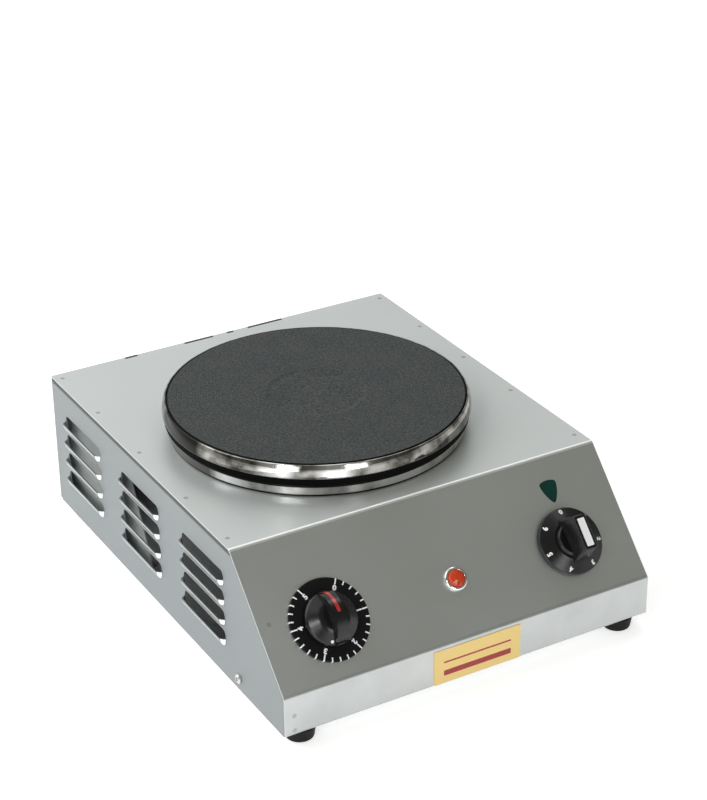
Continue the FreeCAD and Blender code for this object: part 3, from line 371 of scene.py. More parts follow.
def new_finish(name, group, settings):
    """Material with one effect group wired to the roughness and normal of a Principled shader."""
    paint = bpy.data.materials.new(name)
    paint.use_nodes = True
    tree = paint.node_tree
    shader = tree.nodes["Principled BSDF"].inputs
    effect = add_node(tree, "Group", settings, node_tree=group).outputs
    feed(tree, shader["Roughness"], effect["Roughness"])
    feed(tree, shader["Normal"], effect["Normal"])
    return paint, tree, shader, effect


def new_sheet(name, stretch, smooth, rough, relief=0.08, clouds=9.0, metallic=1.0):
    """Start of a metal sheet with streaks and clouds. Less metallic is a duller, chalkier sheet."""
    settings = {"Stretch": stretch, "Cloud Scale": clouds, "Smooth": smooth, "Rough": rough, "Relief": relief}
    paint, tree, shader, effect = new_finish(name, BRUSHED_SHEET, settings)
    feed(tree, shader["Metallic"], metallic)
    return paint, tree, shader, effect


def sheet_finish(name, low, high, *look, **more):
    """Metal sheet whose clouds go from one colour to another."""
    paint, tree, shader, effect = new_sheet(name, *look, **more)
    feed(tree, shader["Base Color"], mix_colours(tree, effect["Cloud"], low, high))
    return paint


def skin_finish(name, low, high, smooth, rough, grain=2500.0, relief=0.15, gloss=0.5):
    """Moulded, cast or coated surface with a fine grain between two colours."""
    settings = {"Grain Scale": grain, "Patch Scale": PATCH_SCALE, "Smooth": smooth, "Rough": rough,
                "Relief": relief}
    paint, tree, shader, effect = new_finish(name, FINE_SKIN, settings)
    feed(tree, shader["Specular IOR Level"], gloss)
    feed(tree, shader["Base Color"], mix_colours(tree, effect["Patch"], low, high))
    return paint


FINISH = {name: sheet_finish(name, *look) for name, look in PLAIN_STEELS.items()}
print("plain steels:", sorted(FINISH))

# %% [markdown]
# ## Steel of the cover
# The cover is satin stainless sheet, and its streaks run across it, along its bends. Heat and scouring have
# dulled the flat top, so there the sheet scatters more light than on the slope and the band. A painted
# highlight runs along the bend, and hands have marked the band. At the rear edge of the top the seam stands
# open in places, and its shade is painted as short dark dashes. Masks by place paint all of this.

# %% Cover
STEEL_LOW = (0.565, 0.592, 0.585)
STEEL_HIGH = (0.625, 0.652, 0.645)
STEEL_ROUGH = (0.34, 0.50)
STEEL_METAL = 0.92       # how metallic the satin sheet is, and the dulled top
DULL_METAL = 0.45
BAND_LOW = (0.46, 0.478, 0.478)
BAND_HIGH = (0.60, 0.618, 0.618)
BAND_REACH = 1.5 * MM    # the marks end this far behind the face of the band
MARK_SCALE = 45.0
MARK_DETAIL = 3.0
BREAK_Y = -119.55 * MM   # bend between the top and the slope, and how wide the painted highlight along it is
BEND_WIDTH = 2.6 * MM
PAINTED_HIGHLIGHT = (0.94, 0.95, 0.95)
# The seam dashes are painted shade, where the rear seam stands open.
SEAM_DASHES = ((-85.5, -75), (-34, -9), (3.5, 9), (22, 53))    # millimetres across the rear edge
SEAM_MARGIN = 5.0        # plain millimetres before the first dash
SEAM_WIDTH = 2.8 * MM
SEAM_SHADE = (0.03, 0.03, 0.03)
MASK_FADE = 0.5 * MM     # width over which a mask by place fades in
TOP_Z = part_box("top_cover")[1].z


def object_place(tree):
    """X, Y and Z of the object's own coordinates."""
    return add_node(tree, "SeparateXYZ", {0: object_vector(tree)}).outputs


def beyond(tree, value, start, fade=MASK_FADE):
    """Mask that rises from 0 to 1 over a short way after a start."""
    inputs = {"Value": value, "From Min": start, "From Max": start + fade}
    return add_node(tree, "MapRange", inputs).outputs["Result"]


def seam_mask(tree):
    """Mask of the painted shade in dashes along the rear edge: steps across X times a step along Y."""
    first = SEAM_DASHES[0][0] - SEAM_MARGIN
    span = SEAM_DASHES[-1][1] - first
    place = object_place(tree)
    steps = add_node(tree, "ValToRGB", {"Fac": beyond(tree, place["X"], first * MM, span * MM)})
    ramp = steps.color_ramp
    ramp.interpolation = "CONSTANT"
    ramp.elements[0].color = (0, 0, 0, 1)
    ramp.elements[1].color = (0, 0, 0, 1)
    for start, end in SEAM_DASHES:
        for edge, level in ((start, 1), (end, 0)):
            stop = ramp.elements.new((edge - first) / span)
            stop.color = (level, level, level, 1)
    behind = math_node(tree, "GREATER_THAN", place["Y"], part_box("top_cover")[1].y - SEAM_WIDTH)
    return math_node(tree, "MULTIPLY", steps.outputs["Color"], behind)


def cover_finish():
    """Satin sheet, duller on the top, a painted highlight along the bend, marks on the band and painted shade in
    dashes at the rear.
    """
    paint, tree, shader, effect = new_sheet("cover_steel", ALONG_X, *STEEL_ROUGH)
    place = object_place(tree)
    plain = mix_colours(tree, effect["Cloud"], STEEL_LOW, STEEL_HIGH)
    marks = noise_of(tree, object_vector(tree), MARK_SCALE, MARK_DETAIL)
    band = mix_colours(tree, marks, BAND_LOW, BAND_HIGH)
    behind = beyond(tree, place["Y"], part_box("top_cover")[0].y + BAND_REACH)
    # Painted shade in dashes along the rear edge, over the band and the plain sheet.
    dashed = mix_colours(tree, seam_mask(tree), mix_colours(tree, behind, band, plain), SEAM_SHADE)
    # Painted highlight: a strip of bright colour along the bend between the top and the slope.
    bend = math_node(tree, "COMPARE", place["Y"], BREAK_Y, BEND_WIDTH / 2)
    feed(tree, shader["Base Color"], mix_colours(tree, bend, dashed, PAINTED_HIGHLIGHT))
    top = beyond(tree, place["Z"], TOP_Z - MASK_FADE)
    feed(tree, shader["Metallic"], blend_values(tree, top, STEEL_METAL, DULL_METAL))
    return paint


FINISH["cover_steel"] = cover_finish()
print("cover with", len(SEAM_DASHES), "dashes, top at", round(TOP_Z / MM, 2), "mm")

# %% [markdown]
# ## Steel of the sides
# The sides have streaks from front to back, and their sheet is painted darker than the cover as painted
# shade. Each side is darker still along the joint where it turns in under the top. The press has burnished
# the louvres smoother, and a painted highlight brightens the front end of each of them. The inner face is
# pale, so that light which enters a louvre is carried on to the guard sheets behind it.

# %% Sides
# Painted shade: the sides' colours are darker than the cover's steel.
SIDE_LOW = (0.285, 0.307, 0.316)
SIDE_HIGH = (0.330, 0.352, 0.361)
SIDE_ROUGH = (0.46, 0.60)
SIDE_METAL = 0.75
JOINT_DEPTH = 4.8 * MM   # darker band along the joint between a side and the top, below the top's face
JOINT_DARK = (0.12, 0.12, 0.12)
PANEL_X = 147.0 * MM     # flat of a side panel, from the middle of the housing
LOUVRE_RISE = 0.2 * MM   # a louvre starts this far outside the flat
LOUVRE_ROUGH = 0.20
COLUMN_PITCH = 100.7 * MM        # columns of louvres, and the front end of the middle column
LOUVRE_END = (23.45 - 33.0) * MM
COLUMNS_AHEAD = 4        # pitches from that end to a start that lies in front of the whole side
END_REACH = 3.0 * MM     # how far the painted highlight at the front end of a louvre goes
SHEET_MIDDLE = PANEL_X - 0.5 * MM        # halfway through the sheet, where the pale inner face ends
FACE_FADE = 0.1 * MM
MILL_PALE = (0.84, 0.85, 0.85)


def side_finish():
    """Satin sheet, pale inside, darker along the joint, and smoother on the louvres, with painted highlights on
    their front ends.
    """
    paint, tree, shader, effect = new_sheet("side_steel", ALONG_Y, *SIDE_ROUGH, metallic=SIDE_METAL)
    place = object_place(tree)
    outwards = math_node(tree, "ABSOLUTE", place["X"])
    pressed = beyond(tree, outwards, PANEL_X + LOUVRE_RISE)
    feed(tree, shader["Roughness"], blend_values(tree, pressed, effect["Roughness"], LOUVRE_ROUGH))
    # Painted highlight: bright colour over a short stretch at the front end of each louvre.
    along = math_node(tree, "SUBTRACT", place["Y"], LOUVRE_END - COLUMNS_AHEAD * COLUMN_PITCH)
    from_end = math_node(tree, "PINGPONG", along, COLUMN_PITCH / 2)
    near = blend_values(tree, beyond(tree, from_end, END_REACH), 1.0, 0.0)
    ends = math_node(tree, "MULTIPLY", pressed, near)
    plain = mix_colours(tree, effect["Cloud"], SIDE_LOW, SIDE_HIGH)
    faces = mix_colours(tree, beyond(tree, outwards, SHEET_MIDDLE, FACE_FADE), MILL_PALE, plain)
    bright = mix_colours(tree, ends, faces, PAINTED_HIGHLIGHT)
    joint = beyond(tree, place["Z"], TOP_Z - JOINT_DEPTH)
    feed(tree, shader["Base Color"], mix_colours(tree, joint, bright, JOINT_DARK))
    return paint


FINISH["side_steel"] = side_finish()
print("sides with columns of louvres every", round(COLUMN_PITCH / MM, 1), "mm")

# %% [markdown]
# ## The iron plate
# The plate is a machined casting with a matt black heat-proof coating. It has a sandy grain that catches
# the light and faint rings from the lathe, so the mask mixes a fine noise with waves round its axis. Its
# rounded edge and the neck under the rim are painted near black as painted shade: the distance from the axis
# finds both.

# %% Iron plate
PLATE_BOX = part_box("hot_plate")
PLATE_AXIS = (PLATE_BOX[0] + PLATE_BOX[1]) / 2
PLATE_R = (PLATE_BOX[1].x - PLATE_BOX[0].x) / 2
IRON_SKIN = {"Grain Scale": 620.0, "Patch Scale": 60.0, "Smooth": 0.52, "Rough": 0.68, "Relief": 0.5}
IRON_LOW = (0.004, 0.0046, 0.0045)
IRON_WARM = (0.084, 0.087, 0.083)        # where the coating has burnt a little, and where it has not
IRON_COOL = (0.067, 0.085, 0.089)
IRON_EDGE_SHADE = (0.002, 0.002, 0.002)
IRON_GLOSS = 0.3         # gloss of the coating, and of the edge with painted shade
EDGE_GLOSS = 0.05
EDGE_WIDTH = 1.4 * MM
LATHE_SCALE = 160.0
LATHE_WAVER = 1.5        # how much noise bends the rings
LATHE_SHARE = 0.09
GRAIN_LOW, GRAIN_SPAN = 0.26, 0.60       # the part of the mask that goes from dark to pale


def iron_finish():
    """Black coating: grain noise plus lathe rings, as waves over the distance from the plate's axis."""
    paint, tree, shader, effect = new_finish("iron", FINE_SKIN, IRON_SKIN)
    to_axis = (-PLATE_AXIS.x, -PLATE_AXIS.y, 0)
    centred = add_node(tree, "Mapping", {"Vector": object_vector(tree), "Location": to_axis}).outputs[0]
    waves = {"Vector": centred, "Scale": LATHE_SCALE, "Distortion": LATHE_WAVER}
    rings = add_node(tree, "TexWave", waves, wave_type="RINGS", rings_direction="Z").outputs["Fac"]
    grain = math_node(tree, "MULTIPLY_ADD", rings, LATHE_SHARE, effect["Grain"])
    pale = mix_colours(tree, effect["Patch"], IRON_WARM, IRON_COOL)
    coat = mix_colours(tree, beyond(tree, grain, GRAIN_LOW, GRAIN_SPAN), IRON_LOW, pale)
    flat = add_node(tree, "VectorMath", {0: centred, 1: (1, 1, 0)}, operation="MULTIPLY").outputs[0]
    away = add_node(tree, "VectorMath", {0: flat}, operation="LENGTH").outputs["Value"]
    # Painted shade: near black and less glossy on the rounded edge and the neck under the rim.
    edge = beyond(tree, away, PLATE_R - EDGE_WIDTH)
    feed(tree, shader["Base Color"], mix_colours(tree, edge, coat, IRON_EDGE_SHADE))
    feed(tree, shader["Specular IOR Level"], blend_values(tree, edge, IRON_GLOSS, EDGE_GLOSS))
    return paint


FINISH["iron"] = iron_finish()
print("plate axis at", [round(x, 4) for x in PLATE_AXIS])

# %% [markdown]
# ## The bright rim and its ring
# Polished steel mirrors its room, and a plain studio gives it little to mirror. So the finish paints what a
# fuller room would show, by the angle round the burner: painted dark reflections on the left of the rim and
# of the ring, and short bright painted reflections at the front. Under them the rim's steel is browned by heat
# in clouds, and its colour is also painted dark for the dim room it mirrors. The ring below the rim is
# cleaner, with painted shade under the neck and in the corner where it stands on the top. Painted patches stay
# where they are when the view changes, which real reflections would not. Angles are counted from the front,
# and right is positive.

# %% Rim and ring
RIM_LOW = (0.07, 0.067, 0.060)
RIM_HIGH = (0.36, 0.35, 0.33)
RING_LOW = (0.34, 0.335, 0.325)
RING_HIGH = (0.70, 0.695, 0.68)
# Painted colours: a dark one for dark reflections and shade, a dim reflection and a bright reflection.
PAINTED_DARK = (0.018, 0.017, 0.015)
DIM_REFLECTION = (0.10, 0.097, 0.090)
BRIGHT_REFLECTION = (0.90, 0.90, 0.90)
RIM_STREAKS = (900, 900, 2600)
RIM_ROUGH = (0.05, 0.14)
RIM_RELIEF = 0.05
RIM_CLOUDS = 90.0
RIM_DARK = ((-91, 13), )         # middle and half width in degrees of each stretch
RIM_SHINE = ((-44, 2.5), (-22.5, 2.5))
RING_DIM = ((-88, 15), )
RING_SHINE = ((-62, 3), (4, 8))
ANGLE_FADE = 5.0                 # degrees over which a stretch fades out
CLOUD_LOW, CLOUD_SPAN = 0.36, 0.28       # the part of the noise that goes from one colour to the other
RING_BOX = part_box("spill_ring")
RING_SHADE = 3.4 * MM             # painted shade on the ring, down from its upper edge under the neck
FOOT_HEIGHT = 1.8 * MM           # painted shade in the corner between the ring and the top


def angle_round(tree, place):
    """Degrees round the burner's axis: atan2 of the ways to the right and to the front."""
    right = math_node(tree, "SUBTRACT", place["X"], PLATE_AXIS.x)
    front = math_node(tree, "SUBTRACT", PLATE_AXIS.y, place["Y"])
    return math_node(tree, "DEGREES", math_node(tree, "ARCTAN2", right, front))


def stretches(tree, angle, rows, colour, under):
    """Colour over another one where the angle is within a half width of a middle, for each row."""
    for middle, half in rows:
        apart = math_node(tree, "ABSOLUTE", math_node(tree, "SUBTRACT", angle, middle))
        under = mix_colours(tree, beyond(tree, apart, half, ANGLE_FADE), colour, under)
    return under


def rim_finish():
    """Polished steel, browned in clouds, with painted dark and bright reflections and painted shade at the ring's
    upper edge and foot.
    """
    paint, tree, shader, effect = new_sheet(
        "bright_steel", RIM_STREAKS, *RIM_ROUGH, relief=RIM_RELIEF, clouds=RIM_CLOUDS)
    cloud = beyond(tree, effect["Cloud"], CLOUD_LOW, CLOUD_SPAN)
    place = object_place(tree)
    angle = angle_round(tree, place)
    # Painted reflections by angle round the burner, on the rim and then on the ring.
    rim = stretches(tree, angle, RIM_DARK, PAINTED_DARK, mix_colours(tree, cloud, RIM_LOW, RIM_HIGH))
    rim = stretches(tree, angle, RIM_SHINE, BRIGHT_REFLECTION, rim)
    ring = stretches(tree, angle, RING_DIM, DIM_REFLECTION, mix_colours(tree, cloud, RING_LOW, RING_HIGH))
    ring = stretches(tree, angle, RING_SHINE, BRIGHT_REFLECTION, ring)
    # Painted shade on the ring under the neck, and in the corner at its foot.
    ring = mix_colours(tree, beyond(tree, place["Z"], RING_BOX[1].z - RING_SHADE), ring, PAINTED_DARK)
    clear_of_foot = beyond(tree, place["Z"], TOP_Z + FOOT_HEIGHT - MASK_FADE)
    ring = mix_colours(tree, clear_of_foot, PAINTED_DARK, ring)
    above = beyond(tree, place["Z"], RING_BOX[1].z)
    feed(tree, shader["Base Color"], mix_colours(tree, above, ring, rim))
    return paint


FINISH["bright_steel"] = rim_finish()
print("stretches on the rim:", len(RIM_DARK + RIM_SHINE), "and on the ring:", len(RING_DIM + RING_SHINE))

# %% [markdown]
# ## Plastics, rubber and film
# The knobs are glossy black mouldings, the scale disc is a matter black, and the inlays are solid red and
# white. The lens is a tinted clear plastic: light goes into it and comes out orange, which a little
# scattering under the surface gives without any real glass.

# %% Plastics and rubber
PLASTICS = {             # dark and pale colour, least and most rough, and what is unlike the usual skin
    "knob_black": ((0.003, 0.003, 0.0035), (0.007, 0.007, 0.008), 0.20, 0.32,
                   {"grain": 3200.0, "relief": 0.10, "gloss": 0.45}),
    "dial_black": ((0.002, 0.002, 0.0025), (0.005, 0.005, 0.006), 0.42, 0.55, {"gloss": 0.2}),
    "red_inlay": ((0.36, 0.02, 0.025), (0.46, 0.03, 0.035), 0.10, 0.18, {"relief": 0.04}),
    "white_inlay": ((0.90, 0.90, 0.92), (0.95, 0.95, 0.97), 0.30, 0.45, {"relief": 0.05}),
    "foot_rubber": ((0.003, 0.003, 0.003), (0.009, 0.009, 0.009), 0.55, 0.75, {"gloss": 0.25}),
    "label_film": ((0.965, 0.70, 0.265), (0.990, 0.74, 0.29), 0.30, 0.45, {"relief": 0.03}),
    "lens_orange": ((0.53, 0.039, 0.010), (0.64, 0.066, 0.015), 0.06, 0.14, {"relief": 0.03}),
}
LENS_SCATTER = {
    "Subsurface Weight": 0.35, "Subsurface Radius": (0.004, 0.001, 0.0004), "Subsurface Scale": 0.5}
for name, (low, high, smooth, rough, unlike) in PLASTICS.items():
    FINISH[name] = skin_finish(name, low, high, smooth, rough, **unlike)
lens_shader = FINISH["lens_orange"].node_tree.nodes["Principled BSDF"].inputs
for socket, value in LENS_SCATTER.items():
    lens_shader[socket].default_value = value
print("plastics done,", len(FINISH), "finishes so far")

# %% [markdown]
# ## Finishes inside the housing
# The works inside show only through the louvres and from below. They still get the finish of the real
# piece: zinc-plated screws, copper, ceramic and sleeved wire. A table keeps them short.

# %% Inner finishes
INNER_STREAKS = (600, 600, 600)
INNER_CLOUDS = 60.0
INNER_SHEETS = {         # dark and pale colour, least and most rough
    "dull_steel": ((0.36, 0.36, 0.34), (0.46, 0.46, 0.44), 0.40, 0.60),
    "zinc_steel": ((0.55, 0.55, 0.52), (0.66, 0.66, 0.62), 0.22, 0.40),
    "copper": ((0.62, 0.30, 0.17), (0.72, 0.40, 0.25), 0.25, 0.45),
}
INNER_SKINS = {
    "shield_steel": ((0.52, 0.55, 0.54), (0.60, 0.63, 0.62), 0.60, 0.80),
    "heater_bed": ((0.62, 0.60, 0.55), (0.74, 0.72, 0.66), 0.70, 0.90),
    "ceramic": ((0.76, 0.74, 0.68), (0.84, 0.82, 0.76), 0.45, 0.65),
    "control_plastic": ((0.07, 0.045, 0.035), (0.10, 0.07, 0.055), 0.35, 0.55),
    "lamp_plastic": ((0.50, 0.48, 0.42), (0.58, 0.56, 0.50), 0.35, 0.55),
    "terminal_plastic": ((0.68, 0.64, 0.54), (0.76, 0.72, 0.62), 0.35, 0.55),
    "gland_plastic": ((0.014, 0.014, 0.014), (0.026, 0.026, 0.026), 0.40, 0.60),
    "wire_plastic": ((0.20, 0.16, 0.13), (0.28, 0.23, 0.19), 0.50, 0.70),
}
for name, (low, high, smooth, rough) in INNER_SHEETS.items():
    FINISH[name] = sheet_finish(name, low, high, INNER_STREAKS, smooth, rough, clouds=INNER_CLOUDS)
for name, (low, high, smooth, rough) in INNER_SKINS.items():
    FINISH[name] = skin_finish(name, low, high, smooth, rough)
for name, node in NODES.items():
    node.data.materials.clear()
    node.data.materials.append(FINISH[SLOT_OF[name]])
print(len(FINISH), "finishes on", len(NODES), "solids")

# %% [markdown]
# ## Flat pieces from an outline and a profile
# Ticks, rules, dots and marks are all thin plaques. Each is one outline that shrinks to its middle while
# its height follows a profile: up the edge, over the face and back under. Worked out as one array, a plaque
# is a closed shell, and one function serves them all.

# %% Plaque helper
FACE_SHARE = 0.97        # size of a plaque's face and back, as a share of its outline
MERGE_DISTANCE = 1e-7


def superellipse(length_a, length_b, power=8.0, count=32):
    """Closed outline of |a|^p + |b|^p = 1 in two half lengths: round for power 2, nearly square for 8."""
    turn = np.linspace(0, 2 * np.pi, count, endpoint=False)
    cos, sin = np.cos(turn), np.sin(turn)
    a = np.sign(cos) * np.abs(cos) ** (2 / power) * length_a / 2
    b = np.sign(sin) * np.abs(sin) ** (2 / power) * length_b / 2
    return np.stack([a, b], -1)


def flat_profile(height):
    """Share of the outline and height of a thin plaque, from under its middle to over its middle."""
    return np.array([(0, 0), (FACE_SHARE, 0), (1, 0.5 * height), (FACE_SHARE, height), (0, height)])


def plaque(outline, profile, place):
    """Shell over an outline: row i is the outline times share i at height i, put in place by a function."""
    shares = profile[:, 0][:, None, None]
    flat = shares * outline[None]
    heights = np.broadcast_to(profile[:, 1][:, None], flat.shape[:2])
    return place(flat[..., 0], flat[..., 1], heights)


def flat_place(origin, right, up, out):
    """Function that puts right, up and out distances on a plane in the frame."""
    base = [np.array(vector, float) for vector in (origin, right, up, out)]

    def place(a, b, c):
        return base[0] + a[..., None] * base[1] + b[..., None] * base[2] + c[..., None] * base[3]

    return place


def dress(piece, finish, body):
    """Link a piece, give it a finish, and let it ride on a body."""
    bpy.context.scene.collection.objects.link(piece)
    piece.data.materials.append(finish)
    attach(piece, body)
    return piece


def shells_to_piece(name, shells, finish, body):
    """One object from grids that close round their second side, with its doubles merged, on a body."""
    points, faces, start = [], [], 0
    for grid in shells:
        rows, columns = grid.shape[:2]
        index = start + np.arange(rows * columns).reshape(rows, columns)
        after = np.roll(index, -1, axis=1)
        quads = np.stack([index[:-1], after[:-1], after[1:], index[1:]], -1)
        points.append(grid.reshape(-1, 3))
        faces.append(quads.reshape(-1, 4))
        start += rows * columns
    mesh = bpy.data.meshes.new(name)
    mesh.from_pydata(np.concatenate(points).tolist(), [], np.concatenate(faces).tolist())
    tidy = bmesh.new()
    tidy.from_mesh(mesh)
    bmesh.ops.remove_doubles(tidy, verts=tidy.verts, dist=MERGE_DISTANCE)
    bmesh.ops.recalc_face_normals(tidy, faces=tidy.faces)
    tidy.to_mesh(mesh)
    tidy.free()
    return dress(bpy.data.objects.new(name, mesh), finish, body)


print("an outline has", len(superellipse(1, 1)), "points and a profile", len(flat_profile(1)), "rows")

# %% [markdown]
# ## Where the controls are
# Each knob turns about a joint whose point lies on the panel's face and whose axis goes into the panel. So
# the joint gives the middle of a scale, the direction out of the panel and the way up the slope. Clockwise
# angles are counted from the way up.

# %% Panel directions
THERMOSTAT = Vector(JOINTS["thermostat_turn"]["pos_m"])
SWITCH = Vector(JOINTS["switch_turn"]["pos_m"])
PANEL_OUT = -Vector(JOINTS["switch_turn"]["axis"]).normalized()
PANEL_RIGHT = Vector((1, 0, 0))
PANEL_UP = PANEL_OUT.cross(PANEL_RIGHT)
UPWARDS = Vector((0, 0, 1))
FORWARDS = Vector((0, -1, 0))
DIAL_FACE = max(PANEL_OUT.dot(vertex.co - THERMOSTAT) for vertex in NODES["dial_plate"].data.vertices)


def panel_turn(clockwise):
    """Directions in the panel away from an axis and across that, at an angle in degrees."""
    turn = math.radians(clockwise)
    away = PANEL_RIGHT * math.sin(turn) + PANEL_UP * math.cos(turn)
    side = PANEL_RIGHT * math.cos(turn) - PANEL_UP * math.sin(turn)
    return away, side


print("dial face", round(DIAL_FACE / MM, 2), "mm over the panel")

# %% [markdown]
# ## The printed scale of the left dial
# White ticks run to the edge of the black disc at an even pitch and leave a gap at the top, where the knob
# is off. Six plain numbers stand inside longer ticks.

# %% Dial scale
INK = 0.06 * MM
TICK_FIRST = 30.0
TICK_LAST = 330.0
TICK_PITCH = 12.0
NUMBER_PITCH = 60.0
DIAL_R = 29.0 * MM
DIAL_ROUND = 0.6 * MM    # rounding of the edge of the disc
TICK_INNER = 26.0 * MM
TICK_LONG = 24.6 * MM
TICK_WIDTH = 0.95 * MM


def dial_place(centre, height, clockwise):
    """Plane at a height over the panel, turned clockwise, whose up points away from the centre."""
    away, side = panel_turn(clockwise)
    return flat_place(centre + PANEL_OUT * height, side, away, PANEL_OUT)


def edge_path(inner, steps=7):
    """Path over the disc as rows of radius, height and the two parts of its normal: face, rounding, wall."""
    bend = np.linspace(0, np.pi / 2, steps)
    radius = DIAL_R - DIAL_ROUND + DIAL_ROUND * np.sin(bend)
    height = DIAL_FACE - DIAL_ROUND + DIAL_ROUND * np.cos(bend)
    rows = [(inner, DIAL_FACE, 0, 1)]
    rows += list(zip(radius, height, np.sin(bend), np.cos(bend)))
    rows.append((DIAL_R, 2 * INK, 1, 0))
    return np.array(rows)


def radial_tick(inner, clockwise):
    """Closed bar of ink: a flat rectangle carried along the path over the disc's edge, with capped ends."""
    radius, height, lean, rise = edge_path(inner).T
    across = np.array([-0.5, 0.5, 0.5, -0.5]) * TICK_WIDTH
    lift = np.array([0, 0, 1, 1]) * INK
    r = radius[:, None] + lean[:, None] * lift
    z = height[:, None] + rise[:, None] * lift
    ends = np.zeros_like(across)
    across = np.vstack([ends, np.tile(across, (len(radius), 1)), ends])
    r, z = (np.vstack([np.full_like(grid[:1], grid[0].mean()), grid, np.full_like(grid[:1], grid[-1].mean())])
            for grid in (r, z))
    return dial_place(THERMOSTAT, 0, clockwise)(across, r, z)


tick_angles = np.arange(TICK_FIRST, TICK_LAST + 1, TICK_PITCH)
number_angles = np.arange(TICK_FIRST, TICK_LAST + 1, NUMBER_PITCH)
longer = {float(angle) for angle in number_angles}
tick_shells = [radial_tick(TICK_LONG if angle in longer else TICK_INNER, angle) for angle in tick_angles]
shells_to_piece("dial_ticks", tick_shells, FINISH["white_inlay"], "housing")
print(len(tick_shells), "ticks")

# %% [markdown]
# ## Numbers on the dial
# A font gives good figures for nothing. The text is made a mesh first, and its points are then put on the
# disc by a function of two lengths and a height. Each figure has its head away from the axis.

# %% Numbers on the dial
NUMBER_RADIUS = 22.3 * MM
NUMBER_HEIGHT = 3.6 * MM
FIGURE_BOLD = 0.075      # how far strokes are widened, as a share of a figure's height
FIGURE_SHARE = 0.7       # height of a figure, as a share of the size of the font
FIGURE_STEPS = 3         # steps on each curved stretch of a figure


def figure_mesh(text, height):
    """Points and faces of a figure in its own plane, with its middle at zero and a thickness of ink."""
    curve = bpy.data.curves.new("figure", "FONT")
    curve.body = text
    curve.size = height / FIGURE_SHARE
    curve.align_x = "CENTER"
    curve.extrude = INK / 2
    curve.offset = FIGURE_BOLD * height
    curve.resolution_u = FIGURE_STEPS
    holder = bpy.data.objects.new("figure", curve)
    mesh = bpy.data.meshes.new_from_object(holder)
    points = np.empty(len(mesh.vertices) * 3)
    mesh.vertices.foreach_get("co", points)
    points = points.reshape(-1, 3)
    points[:, 1] -= (points[:, 1].min() + points[:, 1].max()) / 2
    points[:, 2] += INK / 2
    faces = [tuple(polygon.vertices) for polygon in mesh.polygons]
    bpy.data.objects.remove(holder)
    bpy.data.curves.remove(curve)
    bpy.data.meshes.remove(mesh)
    return points, faces


def figures_to_piece(name, figures, finish, body):
    """One object from placed figures, each as points and faces."""
    points, faces, start = [], [], 0
    for placed, polygons in figures:
        points.append(placed)
        faces += [tuple(start + i for i in polygon) for polygon in polygons]
        start += len(placed)
    mesh = bpy.data.meshes.new(name)
    mesh.from_pydata(np.concatenate(points).tolist(), [], faces)
    return dress(bpy.data.objects.new(name, mesh), finish, body)


dial_figures = []
for number, angle in enumerate(number_angles):
    points, faces = figure_mesh(str(number), NUMBER_HEIGHT)
    upright = dial_place(THERMOSTAT, DIAL_FACE, angle)
    dial_figures.append((upright(points[:, 0], points[:, 1] + NUMBER_RADIUS, points[:, 2]), faces))
figures_to_piece("dial_numbers", dial_figures, FINISH["white_inlay"], "housing")
print(len(dial_figures), "numbers on the dial")

# %% [markdown]
# ## Numbers on the skirt of the right knob
# The skirt is a cone, so its figures are wrapped round it: the width of a figure becomes an angle, and its
# height runs down the slant.

# %% Numbers on the skirt
SKIRT_OUTER = (24.6 * MM, 4.2 * MM)      # radius and height of two points on the slant
SKIRT_INNER = (14.5 * MM, 8.6 * MM)
SKIRT_NUMBER_RADIUS = 21.4 * MM
SKIRT_NUMBER_HEIGHT = 3.5 * MM
SKIRT_NUMBERS = 7


def cone_place(centre, slant_start, slant_end, middle_radius, clockwise):
    """Function that wraps a figure on a cone given by two (radius, height) points, round an angle."""
    (outer, low), (inner, high) = slant_start, slant_end
    slant = math.hypot(outer - inner, high - low)
    run, rise = (outer - inner) / slant, (high - low) / slant
    middle_height = low + (outer - middle_radius) * rise / run

    def place(a, b, c):
        radius = middle_radius + run * b + rise * c
        height = middle_height - rise * b + run * c
        turn = math.radians(clockwise) + a / middle_radius
        flat = np.sin(turn)[..., None] * np.array(PANEL_RIGHT) + np.cos(turn)[..., None] * np.array(PANEL_UP)
        return np.array(centre) + radius[..., None] * flat + height[..., None] * np.array(PANEL_OUT)

    return place


skirt_figures = []
for number in range(SKIRT_NUMBERS):
    points, faces = figure_mesh(str(number), SKIRT_NUMBER_HEIGHT)
    wrap = cone_place(SWITCH, SKIRT_OUTER, SKIRT_INNER, SKIRT_NUMBER_RADIUS, number * 360 / SKIRT_NUMBERS)
    skirt_figures.append((wrap(points[:, 0], points[:, 1], points[:, 2]), faces))
figures_to_piece("skirt_numbers", skirt_figures, FINISH["white_inlay"], "switch_control")
print(len(skirt_figures), "numbers on the skirt")

# %% [markdown]
# ## The green pointer
# A plain green pointer on the panel, over the right knob, shows where to read its numbers.

# %% Green pointer
POINTER_AT = (1.9 * MM, 38.4 * MM)       # right of and up the slope from the right knob's axis
POINTER_SIZE = (13.8 * MM, 17.0 * MM)
GREEN_LOW = (0.0006, 0.024, 0.019)
GREEN_HIGH = (0.0014, 0.042, 0.034)
GREEN_ROUGH = (0.6, 0.75)
GREEN_GLOSS = 0.2


def rounded_triangle(width, height, n=9, m=7, count=48):
    """Closed outline with its point down: r = (|cos 3t/4|^n + |sin 3t/4|^n)^(-1/m), stretched to a size."""
    turn = np.linspace(0, 2 * np.pi, count, endpoint=False)
    lobe = np.abs(np.cos(3 * turn / 4)) ** n + np.abs(np.sin(3 * turn / 4)) ** n
    radius = lobe ** (-1 / m)
    outline = np.stack([radius * np.sin(turn), radius * np.cos(turn)], -1)
    outline -= (outline.max(0) + outline.min(0)) / 2
    size = outline.max(0) - outline.min(0)
    return outline * np.array([width, height]) / size


